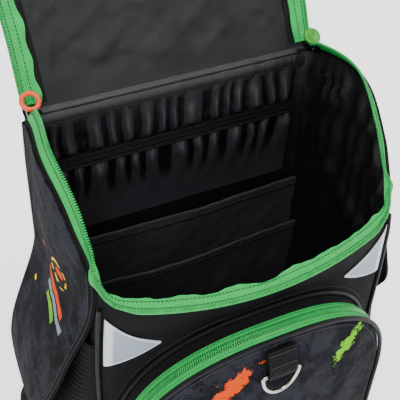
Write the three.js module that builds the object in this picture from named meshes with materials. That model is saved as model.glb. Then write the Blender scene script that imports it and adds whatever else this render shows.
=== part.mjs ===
// School ransel: a stiff-framed child's backpack, stood on its base with the lid thrown back.
// Millimetres, +X to the right, +Y towards the wearer's back, +Z up.
// The origin is the middle of the underside of the base.

import * as THREE from 'three';
import { mergeVertices } from 'three/addons/utils/BufferGeometryUtils.js';

// Overall sizes
const bodyWidth = 260;
const bodyDepth = 147;
const bodyHeight = 345;
const wall = 3;
const clearance = 0.3;

// Plan of the body: sharp piped corners low down, rounder ones at the rim
const seamRadius = 10;
const rimRadius = 16;
const baseInset = 4;
const baseRise = 6;

// Rim: falls to the front, humps on the way and dips at the middle of the front
const frontRimHeight = 283;
const rimFall = 2.66;
const rimHump = 17;
const rimDip = 14;
const panelBow = 16;
const rimBow = 24;
const flareHeight = 36;

// Cloth and trim
const cloth = 1.6;
const tape = 1.3;
const coilHeight = 3;
const pipingRadius = 2;

// Zip tape round the rim and the lid
const tapeInner = 7;
const tapeOuter = 9;
const tapeStand = 8;
const tapeRuffle = 1.1;
const ruffleLength = 34;

// Lid, measured from the hinge to the middle of its free edge's corners
const lidHalfWidth = 119;
const lidLength = 178;
const lidBow = 26;
const lidCorner = 26;
const lidThickness = 3;
const lidLeanAtHinge = 52;
const lidLeanAtEdge = 40;
const lidDish = 7;
const lidDishStart = 60;
const lidZipStart = 6;

// Side flaps: shield shapes that stand away from the wall over the side pockets
const flapReach = 34;
const flapLeaveFront = 268;
const flapLeaveRear = 226;
const flapTip = 68;

// Side pockets of ribbed stretch cloth
const pocketReach = 38;
const pocketMouthFront = 232;
const pocketMouthRear = 184;
const pocketFloor = 5;
const pocketMouthGap = 4.8;
const ribPitch = 15;
const ribDepth = 1.2;
const pocketEdge = 5;

// Front pocket: an arch-topped box on the front panel
const archHalfWidth = 118;
const archTop = 234;
const archSpring = 119;
const archPower = 2.26;
const archFloor = 16;
const archCorner = 30;
const gussetDepth = 30;
const gussetWall = 2;
const faceDome = 6;
const zipStart = 13.5;
const zipWidth = 15;
const zipFoot = 108;
const zipCrown = 1;
const endTabLength = 20;
const endTabReach = 8;

// Hanging tab and D-ring
const tabWidth = 25;
const tabTop = 228;
const tabCloth = 1.5;
const barHeight = 203;
const wireRadius = 1.7;
const ringHalfWidth = 16;
const ringDrop = 24;
const barClearance = 0.5;

// Reflective patches
const patchTop = 266;
const patchBottom = 212;
const patchApexX = 82;
const patchApexZ = 231;
const patchThickness = 0.8;
const patchTipHeight = 1.5;
const patchTopSag = 5;
const patchBottomSag = 3;

// Inside of the back wall: the elastic hangs a set way below the rim
const hingeBandHeight = 15;
const sideMargin = 18;
const liningCloth = 1;
const gatherSpread = 8;
const gatherCount = 13;
const gatherDepth = 1.6;
const liningFoot = 215;
const elasticDrop = 46;
const elasticHeight = 13;
const elasticTop = bodyHeight - elasticDrop;
const dividerHemHeight = 9;
const dividerHemSwell = 0.6;
const rearDivider = { mouth: 207, gapAtFoot: 1.5, gapAtMouth: 9 };
const frontDivider = { mouth: 157, gapAtFoot: 6, gapAtMouth: 20 };

// Back of the bag: the pad, the strap roots and the handle hang set ways below the rim
const padThickness = 12;
const padRounding = 6;
const padMargin = 14;
const padFoot = 62;
const padDrop = 61;
const padTop = bodyHeight - padDrop;
const padCorner = 24;
const strapWidth = 62;
const strapThickness = 9;
const strapCentre = 58;
const strapDrop = 49;
const strapRoot = bodyHeight - strapDrop;
const strapEndHeight = 96;
const strapSwing = 52;
const webbingWidth = 25;
const webbingThickness = 1.8;
const webbingFoot = 24;
const webbingLead = { across: 3, out: 2, up: 14 };
const webbingSag = { out: 6, down: 4 };
const buckleMargin = 3;
const buckleThickness = 6;
const buckleLength = 16;
const handleSpan = 100;
const handleReach = 30;
const handleDrop = 27;
const handleHeight = bodyHeight - handleDrop;
const handleRadius = 6;

// Sliders
const sliderLength = 15;
const sliderWidth = 9;
const sliderHeight = 6;
const pullerRingRadius = 6.5;
const pullerWire = 1.9;
const pullerDiscRadius = 7.5;
const pullerDiscThickness = 3.5;
const pullerShift = 2;

const halfWidth = bodyWidth / 2;
const halfDepth = bodyDepth / 2;
const backWall = halfDepth;

const mix = (a, b, t) => a + (b - a) * t;
const clamp01 = (t) => Math.min(1, Math.max(0, t));
const smooth = (t) => clamp01(t) ** 2 * (3 - 2 * clamp01(t));
const range = (count) => Array.from({ length: count }, (_, i) => i);
const shares = (count) => range(count + 1).map((i) => i / count);
const vec = (x, y, z) => new THREE.Vector3(x, y, z);

// Reads a table of [position, value] rows with straight lines between the rows
function tableValue(rows, position) {
  const next = rows.findIndex((row) => row[0] >= position);
  if (next === 0) return rows[0][1];
  if (next < 0) return rows[rows.length - 1][1];
  const [from, to] = [rows[next - 1], rows[next]];
  return mix(from[1], to[1], (position - from[0]) / (to[0] - from[0]));
}

const cloths = {
  black: { color: 0x19181a, roughness: 0.85 },
  lining: { color: 0x101113, roughness: 0.55 },
  print: { color: 0x373946, roughness: 0.9 },
  green: { color: 0x6ccf82, roughness: 0.7 },
  reflective: { color: 0xc8d2dc, roughness: 0.35, metalness: 0.2 },
  nickel: { color: 0xc8c4bc, roughness: 0.2, metalness: 1 },
  orange: { color: 0xeb5a28, roughness: 0.4 },
  lime: { color: 0x5aaa32, roughness: 0.4 },
  plastic: { color: 0x151515, roughness: 0.5 },
};

const ransel = new THREE.Group();

function add(name, geometry, finish) {
  const mesh = new THREE.Mesh(geometry, new THREE.MeshStandardMaterial(cloths[finish]));
  mesh.name = name;
  ransel.add(mesh);
  return mesh;
}

// Collects triangles, turns them to face outwards and shares their corners
function closedGeometry(triangles) {
  let volume = 0;
  for (const [a, b, c] of triangles) volume += a.dot(b.clone().cross(c));
  const positions = [];
  for (const [a, b, c] of triangles) {
    for (const p of volume > 0 ? [a, b, c] : [a, c, b]) positions.push(p.x, p.y, p.z);
  }
  const geometry = new THREE.BufferGeometry();
  geometry.setAttribute('position', new THREE.Float32BufferAttribute(positions, 3));
  const shared = mergeVertices(geometry, 1e-3);
  shared.computeVertexNormals();
  return shared;
}

function strip(triangles, first, second, closed) {
  const count = first.length;
  for (let i = 0; i < (closed ? count : count - 1); i += 1) {
    const j = (i + 1) % count;
    triangles.push([first[i], first[j], second[j]], [first[i], second[j], second[i]]);
  }
}

// A thin solid between two grids of points; wrapped grids close on themselves along each row
function sheet(outer, inner, wrapped = false) {
  const triangles = [];
  const last = outer.length - 1;
  for (const i of range(last)) {
    strip(triangles, outer[i], outer[i + 1], wrapped);
    strip(triangles, inner[i + 1], inner[i], wrapped);
  }
  strip(triangles, inner[0], outer[0], wrapped);
  strip(triangles, outer[last], inner[last], wrapped);
  if (!wrapped) {
    const column = (grid, k) => grid.map((row) => row[k]);
    const end = outer[0].length - 1;
    strip(triangles, column(outer, 0), column(inner, 0), false);
    strip(triangles, column(inner, end), column(outer, end), false);
  }
  return closedGeometry(triangles);
}

// Triangles of a flat or nearly flat ring, also where it is not convex
function capTriangles(ring) {
  const normal = vec(0, 0, 0);
  ring.forEach((p, i) => normal.add(p.clone().cross(ring[(i + 1) % ring.length])));
  normal.normalize();
  const across = Math.abs(normal.z) < 0.9 ? vec(0, 0, 1).cross(normal) : vec(1, 0, 0).cross(normal);
  across.normalize();
  const up = normal.clone().cross(across);
  const flat = ring.map((p) => new THREE.Vector2(p.dot(across), p.dot(up)));
  return THREE.ShapeUtils.triangulateShape(flat, []).map((face) => face.map((i) => ring[i]));
}

// A solid through a row of rings with equal counts of points, capped at both ends or closed
function loft(rings, closed = false) {
  const triangles = [];
  const last = rings.length - 1;
  for (const i of range(last)) strip(triangles, rings[i], rings[i + 1], true);
  if (closed) {
    strip(triangles, rings[last], rings[0], true);
  } else {
    for (const [a, b, c] of capTriangles(rings[0])) triangles.push([a, c, b]);
    for (const face of capTriangles(rings[last])) triangles.push(face);
  }
  return closedGeometry(triangles);
}

// A round cord through a row of points that lie nearly in the plane with the given normal
function cord(points, radius, normal, closed = false, sides = 6) {
  const last = points.length - 1;
  return loft(points.map((p, i) => {
    const before = closed ? points[(i + last) % points.length] : points[Math.max(0, i - 1)];
    const after = closed ? points[(i + 1) % points.length] : points[Math.min(last, i + 1)];
    const along = after.clone().sub(before).normalize();
    const out = normal.clone().cross(along).normalize();
    const over = along.clone().cross(out);
    return range(sides).map((k) => {
      const angle = (k * 2 * Math.PI) / sides;
      return p.clone().addScaledVector(out, radius * Math.cos(angle))
        .addScaledVector(over, radius * Math.sin(angle));
    });
  }), closed);
}

// A band of the given width and thickness along a row of points; soft bands have rounded edges
function band(points, width, thickness, softness = 0) {
  const last = points.length - 1;
  const [w, t] = [width / 2, thickness / 2];
  const edge = w - t * softness;
  const section = softness > 0
    ? [[-w, 0], [-edge, -t], [0, -t], [edge, -t], [w, 0], [edge, t], [0, t], [-edge, t]]
    : [[-w, -t], [w, -t], [w, t], [-w, t]];
  return loft(points.map((p, i) => {
    const along = points[Math.min(last, i + 1)].clone().sub(points[Math.max(0, i - 1)]).normalize();
    const across = vec(1, 0, 0).addScaledVector(along, -along.x).normalize();
    const over = along.clone().cross(across);
    return section.map(([a, b]) => p.clone().addScaledVector(across, a).addScaledVector(over, b));
  }));
}

// Height of the rim at a place in plan; depth runs from 0 at the back to 1 at the front
function rimHeightAt(x, depth) {
  const level = mix(bodyHeight, frontRimHeight, clamp01(depth) ** rimFall);
  const middle = 1 - (x / halfWidth) ** 2;
  return level + rimHump * Math.sin(Math.PI * clamp01(depth)) - rimDip * middle * clamp01(depth);
}

// How far the front panel stands forward of its corners, by height
function bowAt(z) {
  const foot = frontRimHeight - rimDip - flareHeight;
  return mix(panelBow, rimBow, smooth((z - foot) / flareHeight));
}

// The front panel's outer face
function frontAt(x, z) {
  return -halfDepth - bowAt(z) * Math.max(0, 1 - (x / halfWidth) ** 2);
}

// Steps along each stretch of the body's plan
const frontCount = 14;
const sideCount = 8;
const backCount = 8;
const cornerCount = 4;

// A ring of the body in plan, from the front left corner round to the left side
function planRing(inset, radius) {
  const [w, d] = [halfWidth - inset, halfDepth - inset];
  const r = Math.max(1, radius - inset);
  const ring = [];
  const line = (x0, y0, x1, y1, count) => {
    for (const t of shares(count).slice(0, -1)) ring.push([mix(x0, x1, t), mix(y0, y1, t)]);
  };
  const arc = (cx, cy, start) => {
    for (const t of shares(cornerCount).slice(0, -1)) {
      const angle = start + (t * Math.PI) / 2;
      ring.push([cx + r * Math.cos(angle), cy + r * Math.sin(angle)]);
    }
  };
  line(-w + r, -d, w - r, -d, frontCount);
  arc(w - r, -d + r, -Math.PI / 2);
  line(w, -d + r, w, d - r, sideCount);
  arc(w - r, d - r, 0);
  line(w - r, d, -w + r, d, backCount);
  arc(-w + r, d - r, Math.PI / 2);
  line(-w, d - r, -w, -d + r, sideCount);
  arc(-w + r, -d + r, Math.PI);
  return ring.map(([x, y]) => [x, y, (1 - y / d) / 2]);
}

// How far the corners have opened out to the rim's radius at a share of the height
const rimShare = (share) => smooth((share - 0.88) / 0.12);

// One level of the body wall; share runs from 0 at the floor to 1 at the rim
function wallRing(share, inset, floor) {
  const nearRim = rimShare(share);
  return planRing(inset, mix(seamRadius, rimRadius, nearRim)).map(([x, y, depth]) => {
    const z = mix(floor, rimHeightAt(x, depth), share);
    return vec(x, y - bowAt(z) * Math.max(0, 1 - (x / halfWidth) ** 2) * depth, z);
  });
}

function makeBody() {
  const outerShares = [0.02, 0.3, 0.6, 0.8, 0.88, 0.92, 0.96, 1];
  const innerShares = [1, 0.96, 0.92, 0.88, 0.8, 0];
  const underside = wallRing(0, baseInset, 0);
  const rings = [underside, ...outerShares.map((s) => wallRing(s, 0, baseRise * (1 - s)))];
  rings.push(...innerShares.map((s) => wallRing(s, wall, wall)));
  add('body_shell', loft(rings), 'black');
}

// Outward direction in plan at each point of a ring
function planNormals(ring) {
  return ring.map((p, i) => {
    const before = ring[(i + ring.length - 1) % ring.length];
    const after = ring[(i + 1) % ring.length];
    return vec(after.y - before.y, before.x - after.x, 0).normalize();
  });
}

// Zip half round the rim: it stands up and in along the sides and folds out over the front
const sideTape = [[-1.2, 0.4], [-tapeStand * 0.55, tapeStand * 0.6], [-tapeStand, tapeStand]];
const frontTape = [[tapeOuter, -tapeOuter * 0.45], [-1, 0.8], [-tapeInner, tapeInner * 0.7]];

function makeRimZipper() {
  const ring = wallRing(1, 0, 0);
  const normals = planNormals(ring);
  const sideStart = frontCount + cornerCount;
  const order = [];
  const leftSideEnd = sideStart + 2 * cornerCount + sideCount + backCount;
  for (let i = leftSideEnd; i < ring.length; i += 1) order.push(i);
  for (let i = 0; i < sideStart + sideCount + 1; i += 1) order.push(i);
  let travelled = 0;
  const sections = order.map((index, k) => {
    const point = ring[index];
    if (k > 0) travelled += point.distanceTo(ring[order[k - 1]]);
    const depth = (halfDepth - point.y) / bodyDepth;
    const fold = smooth((depth - 0.86) / 0.14);
    const ruffle = fold * tapeRuffle * Math.sin((travelled / ruffleLength) * Math.PI * 2);
    const path = sideTape.map(([n, z], row) => [
      mix(n, frontTape[row][0], fold), mix(z, frontTape[row][1], fold),
    ]);
    const thickAtOuter = mix(tape, coilHeight, fold);
    const thickAtInner = mix(coilHeight, tape, fold);
    const under = path.map(([n, z]) => [n, z + clearance]);
    under[2][1] += ruffle;
    const over = [
      [under[0][0], under[0][1] + thickAtOuter],
      [under[1][0], under[1][1] + tape],
      [under[2][0], under[2][1] + thickAtInner],
    ];
    const place = ([n, z]) => point.clone().addScaledVector(normals[index], n).add(vec(0, 0, z));
    return [...under.map(place), ...over.reverse().map(place)];
  });
  add('rim_zipper', loft(sections), 'green');
}

// Lid: distances along it are laid out on a curve that leans back from the hinge
const lidHinge = { y: backWall + 2 * clearance, z: bodyHeight + 3 * clearance };

function lidPoint(x, along, lift) {
  const steps = 12;
  let [y, z] = [lidHinge.y, lidHinge.z];
  const leanAt = (s) => THREE.MathUtils.degToRad(mix(lidLeanAtHinge, lidLeanAtEdge, s / lidLength));
  for (const i of range(steps)) {
    const lean = leanAt((along * (i + 0.5)) / steps);
    y += (Math.cos(lean) * along) / steps;
    z += (Math.sin(lean) * along) / steps;
  }
  const lean = leanAt(along);
  const dish = lidDish * (Math.abs(x) / lidHalfWidth) ** 4 * smooth(along / lidDishStart);
  return vec(x, y - Math.sin(lean) * (lift + dish), z + Math.cos(lean) * (lift + dish));
}

// Length of the lid at a place across it, with rounded free corners
function lidReach(x) {
  const straight = lidHalfWidth - lidCorner;
  const past = clamp01((Math.abs(x) - straight) / lidCorner);
  const corner = lidCorner * (1 - Math.sqrt(1 - past ** 2));
  return lidLength + lidBow * (1 - (x / lidHalfWidth) ** 2) - corner;
}

const lidColumns = [
  -1, -0.97, -0.92, -0.84, -0.72, -0.5, -0.25, 0, 0.25, 0.5, 0.72, 0.84, 0.92, 0.97, 1,
];

function makeLid() {
  const rows = (lift) => shares(10).map((v) => lidColumns.map((u) => {
    const x = u * lidHalfWidth;
    return lidPoint(x, v * lidReach(x), lift);
  }));
  add('lid', sheet(rows(0), rows(-lidThickness)), 'lining');

  const sideReach = lidReach(lidHalfWidth);
  const alongSide = shares(9).map((v) => mix(lidZipStart, sideReach, v));
  const edge = [];
  for (const along of alongSide.slice(0, -1)) edge.push([-lidHalfWidth, along]);
  for (const u of lidColumns) edge.push([u * lidHalfWidth, lidReach(u * lidHalfWidth)]);
  for (const along of alongSide.reverse().slice(1)) edge.push([lidHalfWidth, along]);
  let travelled = 0;
  const sections = edge.map(([x, along], i) => {
    const [x0, s0] = edge[Math.max(0, i - 1)];
    const [x1, s1] = edge[Math.min(edge.length - 1, i + 1)];
    const length = Math.hypot(x1 - x0, s1 - s0);
    travelled += length / 2;
    const [outX, outS] = [-(s1 - s0) / length, (x1 - x0) / length];
    const ruffle = tapeRuffle * (1 + Math.sin((travelled / ruffleLength) * Math.PI * 2));
    const place = ([out, lift]) => lidPoint(x + outX * out, along + outS * out, lift);
    const under = [[tapeOuter, clearance], [0, clearance], [-tapeInner, clearance + ruffle]];
    const over = [
      [-tapeInner, clearance + ruffle + tape], [0, clearance + tape],
      [tapeOuter, clearance + coilHeight],
    ];
    return [...under, ...over].map(place);
  });
  add('lid_zipper', loft(sections), 'green');
}

// The side wall's face at a place on it, rounded off into the corners
function sideAt(y, z) {
  const nearRim = rimShare(z / rimHeightAt(halfWidth, (halfDepth - y) / bodyDepth));
  const radius = mix(seamRadius, rimRadius, nearRim);
  const past = Math.max(0, Math.abs(y) - (halfDepth - radius));
  return halfWidth - radius + Math.sqrt(radius ** 2 - past ** 2);
}

// How far a side flap stands off the wall at a place on it
function flapBulge(y, z) {
  const leave = mix(flapLeaveFront, flapLeaveRear, (y + halfDepth) / bodyDepth);
  const fall = clamp01((leave - z) / (leave - flapTip));
  const rear = 1 - 0.14 * smooth(y / halfDepth);
  return flapReach * rear * Math.sin((Math.PI / 2) * (fall / 0.8)) ** 1.5;
}

// Edges of a side flap: y as shares of half the body depth, z as shares of the body height
const flapEdges = [
  { frontY: -0.9, frontZ: 0.835, rearY: 0.88, rearZ: 1.0 },
  { frontY: -0.93, frontZ: 0.785, rearY: 0.89, rearZ: 0.9 },
  { frontY: -0.9, frontZ: 0.71, rearY: 0.89, rearZ: 0.79 },
  { frontY: -0.83, frontZ: 0.64, rearY: 0.89, rearZ: 0.68 },
  { frontY: -0.79, frontZ: 0.58, rearY: 0.92, rearZ: 0.6 },
  { frontY: -0.75, frontZ: 0.51, rearY: 0.98, rearZ: 0.5 },
  { frontY: -0.68, frontZ: 0.455, rearY: 0.96, rearZ: 0.41 },
  { frontY: -0.55, frontZ: 0.4, rearY: 0.9, rearZ: 0.34 },
  { frontY: -0.42, frontZ: 0.35, rearY: 0.78, rearZ: 0.29 },
  { frontY: -0.28, frontZ: 0.295, rearY: 0.6, rearZ: 0.255 },
  { frontY: -0.14, frontZ: 0.24, rearY: 0.36, rearZ: 0.225 },
  { frontY: -0.03, frontZ: 0.2, rearY: 0.08, rearZ: 0.2 },
];

const flapColumns = [0, 0.03, 0.07, 0.12, 0.25, 0.4, 0.56, 0.72, 0.88, 0.93, 0.97, 1];

function makeSideFlap(side, name) {
  const rows = flapEdges.map((edge, row) => {
    const hump = row === 0 ? rimHump : rimHump * (1 - row / 5);
    return flapColumns.map((u) => {
      const y = mix(edge.frontY, edge.rearY, u) * halfDepth;
      const rise = Math.max(0, hump) * Math.sin(Math.PI * u);
      let z = mix(edge.frontZ, edge.rearZ, u) * bodyHeight + rise;
      if (row === 0) z = rimHeightAt(halfWidth, (halfDepth - y) / bodyDepth) - 1;
      return [y, z];
    });
  });
  const grid = (lift) => rows.map((row) => row.map(([y, z]) => (
    vec(side * (sideAt(y, z) + 2 * clearance + lift + flapBulge(y, z)), y, z)
  )));
  add(name, sheet(grid(cloth), grid(0)), 'print');
}

// Side pocket's swell by height: both columns are shares, of the pocket's height and of its reach
const pocketProfile = [
  [0, 0], [0.04, 0.5], [0.1, 0.9], [0.18, 1], [0.24, 0.86], [0.3, 0.72], [0.42, 0.62],
  [0.55, 0.46], [0.72, 0.26], [0.86, 0.09], [1, 0],
];

const pocketColumns = [0, 0.04, 0.1, 0.25, 0.5, 0.75, 0.9, 0.96, 1];

function makeSidePocket(side, name) {
  const ribRows = 2 * Math.round((pocketMouthFront - pocketFloor) / ribPitch);
  const edge = halfDepth - pocketEdge;
  const grid = (lift) => shares(ribRows).map((v, row) => pocketColumns.map((u) => {
    const y = mix(-edge, edge, u);
    const z = mix(pocketFloor, mix(pocketMouthFront, pocketMouthRear, u), v);
    const full = 1 - Math.abs(2 * u - 1) ** 8;
    const free = mix(pocketMouthGap, pocketReach, tableValue(pocketProfile, v));
    const underFlap = flapBulge(y, z) - cloth - ribDepth - 3 * clearance;
    const swell = z < flapTip - ribPitch / 2 ? free : Math.min(free, underFlap);
    const rib = row % 2 ? ribDepth : 0;
    return vec(side * (sideAt(y, z) + 2 * clearance + lift + full * (swell + rib)), y, z);
  }));
  add(name, sheet(grid(cloth), grid(0)), 'black');
}

// Outline of the front pocket in x and z: arch over the top, straight sides, rounded foot
function pocketOutline(offset) {
  const w = archHalfWidth + offset;
  const rise = archTop - archSpring + offset;
  const foot = archFloor - offset;
  const r = archCorner + offset;
  const points = [];
  for (const t of shares(20)) {
    const angle = Math.PI * (1 - t);
    const x = Math.sign(Math.cos(angle)) * Math.abs(Math.cos(angle)) ** (2 / archPower) * w;
    points.push([x, archSpring + rise * Math.sin(angle) ** (2 / archPower)]);
  }
  for (const t of [1 / 3, 2 / 3]) points.push([w, mix(archSpring, foot + r, t)]);
  for (const t of shares(4)) {
    const angle = (t * Math.PI) / 2;
    points.push([w - r + r * Math.cos(angle), foot + r - r * Math.sin(angle)]);
  }
  for (const t of [0.2, 0.4, 0.6, 0.8]) points.push([mix(w - r, -w + r, t), foot]);
  for (const t of shares(4)) {
    const angle = (t * Math.PI) / 2;
    points.push([-w + r - r * Math.sin(angle), foot + r - r * Math.cos(angle)]);
  }
  for (const t of [1 / 3, 2 / 3]) points.push([-w, mix(foot + r, archSpring, t)]);
  return points;
}

const onPocket = ([x, z], depth) => vec(x, frontAt(x, z) - depth, z);

function makeFrontPocket() {
  const outer = pocketOutline(0);
  const inner = pocketOutline(-gussetWall);
  const depths = [clearance, gussetDepth / 2, gussetDepth];
  const gusset = (outline) => depths.map((depth) => outline.map((p) => onPocket(p, depth)));
  add('pocket_gusset', sheet(gusset(outer), gusset(inner), true), 'black');

  // The face is a shallow dome, built as rings from its edge to its middle
  const faceRing = (scale, depth) => outer.map(([x, z]) => {
    const middle = mix(archFloor, archTop, 0.5);
    const place = [x * scale, middle + (z - middle) * scale];
    return onPocket(place, depth + faceDome * (1 - scale ** 2));
  });
  const scales = [1, 0.85, 0.55, 0.15];
  const front = scales.map((s) => faceRing(s, gussetDepth + clearance + gussetWall));
  const rear = scales.map((s) => faceRing(s, gussetDepth + clearance)).reverse();
  add('pocket_face', loft([...rear, ...front]), 'print');

  const zipLine = (offset) => {
    const line = pocketOutline(offset).slice(0, 21);
    return [[line[0][0], zipFoot], ...line, [line[20][0], zipFoot]];
  };
  const zipSections = zipLine(clearance).map((p, i) => {
    const q = zipLine(clearance + tape)[i];
    const crown = zipLine(clearance + tape + zipCrown)[i];
    const middle = zipStart + zipWidth / 2;
    return [
      onPocket(p, zipStart), onPocket(p, zipStart + zipWidth),
      onPocket(q, zipStart + zipWidth), onPocket(crown, middle), onPocket(q, zipStart),
    ];
  });
  add('pocket_zipper', loft(zipSections), 'green');

  const cordLine = pocketOutline(pipingRadius + clearance);
  const forward = vec(0, -1, 0);
  const baseCord = cordLine.map((p) => onPocket(p, pipingRadius + clearance));
  add('pocket_base_piping', cord(baseCord, pipingRadius, forward, true), 'black');
  const faceCord = cordLine.map((p) => onPocket(p, gussetDepth + pipingRadius));
  add('pocket_face_piping', cord(faceCord, pipingRadius, forward, true), 'black');

  // A folded cloth tab closes each end of the zip
  for (const [side, name] of [[-1, 'zip_end_tab_left'], [1, 'zip_end_tab_right']]) {
    const from = archHalfWidth + clearance;
    const top = zipFoot - clearance;
    const folds = [[0, 0.6], [0.4, 1], [1, 0.25]];
    const rings = folds.map(([down, out]) => {
      const z = top - down * endTabLength;
      const reach = out * endTabReach;
      const y = frontAt(archHalfWidth, z) - zipStart;
      return [[from, y], [from + reach, y], [from + reach, y - zipWidth], [from, y - zipWidth]]
        .map(([x, depth]) => vec(side * x, depth, z));
    });
    add(name, loft(rings), 'black');
  }

  // The slider waits at the left end of the zip
  const slider = new THREE.BoxGeometry(sliderHeight, sliderWidth, sliderLength);
  const sliderX = -archHalfWidth - 2 * clearance - tape - zipCrown - sliderHeight / 2;
  const sliderZ = zipFoot + sliderLength;
  const sliderY = frontAt(archHalfWidth, sliderZ) - zipStart - zipWidth / 2;
  add('pocket_slider', slider, 'nickel').position.set(sliderX, sliderY, sliderZ);
}

// The front of the pocket face at the middle of the bag
function faceAt(z) {
  const middle = mix(archFloor, archTop, 0.5);
  const scale = Math.abs(z - middle) / (archTop - middle);
  return frontAt(0, z) - gussetDepth - clearance - gussetWall - faceDome * (1 - scale ** 2);
}

// Webbing tab folded round the bar of the D-ring
function makeHangingTab() {
  const bore = wireRadius + barClearance;
  const loop = bore + tabCloth;
  const barY = faceAt(barHeight) - clearance - barClearance - loop;
  const backTop = faceAt(tabTop) - 2 * clearance;
  const neck = barHeight + 1.8 * loop;
  const profile = new THREE.Shape();
  profile.moveTo(backTop, tabTop);
  profile.lineTo(backTop - 2 * tabCloth, tabTop);
  profile.lineTo(barY - tabCloth, neck);
  profile.lineTo(barY - loop, barHeight);
  profile.absarc(barY, barHeight, loop, Math.PI, 2 * Math.PI, false);
  profile.lineTo(Math.min(barY + loop, faceAt(neck) - 2 * clearance), neck);
  profile.closePath();
  const hole = new THREE.Path();
  hole.absarc(barY, barHeight, bore, 0, 2 * Math.PI, true);
  profile.holes.push(hole);
  const tab = new THREE.ExtrudeGeometry(profile, {
    depth: tabWidth, steps: 1, curveSegments: 8, bevelEnabled: false,
  });
  tab.translate(0, 0, -tabWidth / 2);
  tab.applyMatrix4(new THREE.Matrix4().makeBasis(vec(0, 1, 0), vec(0, 0, 1), vec(1, 0, 0)));
  add('hanging_tab', tab, 'black');

  const bar = [-0.8, -0.3, 0.3, 0.8].map((u) => vec(u * ringHalfWidth, barY, barHeight));
  const bow = shares(14).map((t) => {
    const angle = Math.PI * (0.02 + 0.96 * t);
    return vec(ringHalfWidth * Math.cos(angle), barY, barHeight - ringDrop * Math.sin(angle));
  });
  add('d_ring', cord([...bar, ...bow], wireRadius, vec(0, -1, 0), true), 'nickel');
}

// The front panel's face, rounded off into the corner seam
function panelAt(x, z) {
  const past = Math.max(0, Math.abs(x) - (halfWidth - seamRadius));
  return frontAt(x, z) + seamRadius - Math.sqrt(seamRadius ** 2 - past ** 2);
}

function makePatch(side, name) {
  const seamX = halfWidth - seamRadius / 2;
  const columns = shares(6);
  const grid = (lift) => shares(4).map((v) => columns.map((u) => {
    const x = mix(seamX, patchApexX, u);
    const top = mix(patchTop, patchApexZ, u) - patchTopSag * Math.sin(Math.PI * u);
    const tip = patchApexZ - patchTipHeight;
    const bottom = mix(patchBottom, tip, u) - patchBottomSag * Math.sin(Math.PI * u);
    const z = mix(bottom, top, v);
    return vec(side * x, panelAt(x, z) - 2 * clearance - lift, z);
  }));
  add(name, sheet(grid(patchThickness), grid(0)), 'reflective');
}

// Piping along a corner seam, from the base up to the zip
function makeCornerPiping(corner, topShare, name) {
  const heights = [0.04, 0.3, 0.6, 0.8, 0.88, topShare];
  const points = heights.map((share) => {
    const ring = wallRing(share, 0, baseRise * (1 - share));
    const index = corner + cornerCount / 2;
    return ring[index].clone().addScaledVector(planNormals(ring)[index], pipingRadius + clearance);
  });
  add(name, cord(points, pipingRadius, vec(1, 0, 0)), 'black');
}

// Strip that covers the top of the back wall and carries the lid
function makeHingeBand() {
  const width = bodyWidth - 2 * sideMargin;
  const inner = backWall - wall - clearance;
  const top = bodyHeight + clearance;
  const profile = new THREE.Shape();
  profile.moveTo(inner, bodyHeight - hingeBandHeight);
  profile.lineTo(inner, top);
  profile.lineTo(backWall, top);
  profile.lineTo(backWall, top + liningCloth);
  profile.lineTo(inner - liningCloth, top + liningCloth);
  profile.lineTo(inner - liningCloth, bodyHeight - hingeBandHeight);
  profile.closePath();
  const strap = new THREE.ExtrudeGeometry(profile, { depth: width, steps: 1, bevelEnabled: false });
  strap.translate(0, 0, -width / 2);
  strap.applyMatrix4(new THREE.Matrix4().makeBasis(vec(0, 1, 0), vec(0, 0, 1), vec(1, 0, 0)));
  add('hinge_band', strap, 'lining');
}

// Lining of the back wall, gathered above and below the elastic and smooth at its foot
function makeBackLining() {
  const width = bodyWidth - 2 * sideMargin;
  const top = bodyHeight - hingeBandHeight - clearance;
  const foot = liningFoot;
  const elasticMiddle = elasticTop - elasticHeight / 2;
  const levels = [foot, mix(foot, elasticTop, 0.4), elasticTop - elasticHeight - gatherSpread,
    elasticTop - elasticHeight, elasticTop, mix(elasticTop, top, 0.5), top];
  const columns = shares(gatherCount * 2);
  const rear = backWall - wall - clearance;
  const grid = (lift) => levels.map((z) => columns.map((u, column) => {
    const aboveFoot = smooth((z - foot) / (elasticMiddle - foot));
    const pinch = z === elasticTop || z === elasticTop - elasticHeight || z === top ? 0.15 : 1;
    const fold = column % 2 ? gatherDepth * aboveFoot * pinch : 0;
    return vec(mix(-width / 2, width / 2, u), rear - lift * (1 + fold), z);
  }));
  add('back_lining', sheet(grid(liningCloth), grid(0)), 'lining');

  const elastic = new THREE.BoxGeometry(width, cloth, elasticHeight);
  const pinched = liningCloth * (1 + 0.15 * gatherDepth);
  const elasticY = rear - pinched - clearance - cloth / 2;
  add('elastic_band', elastic, 'lining').position.set(0, elasticY, elasticMiddle);
}

// Flat pocket on the back wall; its mouth has a thicker hem and stands away from the wall
function makeDivider(name, { mouth, gapAtFoot, gapAtMouth }) {
  const radius = seamRadius - wall;
  const foot = wall + clearance;
  const levels = [foot, mix(foot, mouth, 0.35), mix(foot, mouth, 0.7),
    mouth - dividerHemHeight - 0.5, mouth - dividerHemHeight, mouth];
  const columns = shares(8);
  const grid = (front) => levels.map((z, row) => columns.map((u) => {
    const rise = (z - foot) / (mouth - foot);
    const hem = row >= levels.length - 2 ? dividerHemSwell : 0;
    const belly = 1 - 0.25 * Math.cos(2 * Math.PI * u);
    const gap = mix(gapAtFoot, gapAtMouth, rise ** 1.5 * belly);
    const nearWall = Math.max(0, radius - gap + hem);
    const reach = halfWidth - wall - radius + Math.sqrt(radius ** 2 - nearWall ** 2) - 2 * clearance;
    const away = front ? gap + cloth + hem : gap - hem;
    return vec(mix(-reach, reach, u), backWall - wall - away, z);
  }));
  add(name, sheet(grid(true), grid(false)), 'lining');
}

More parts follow.
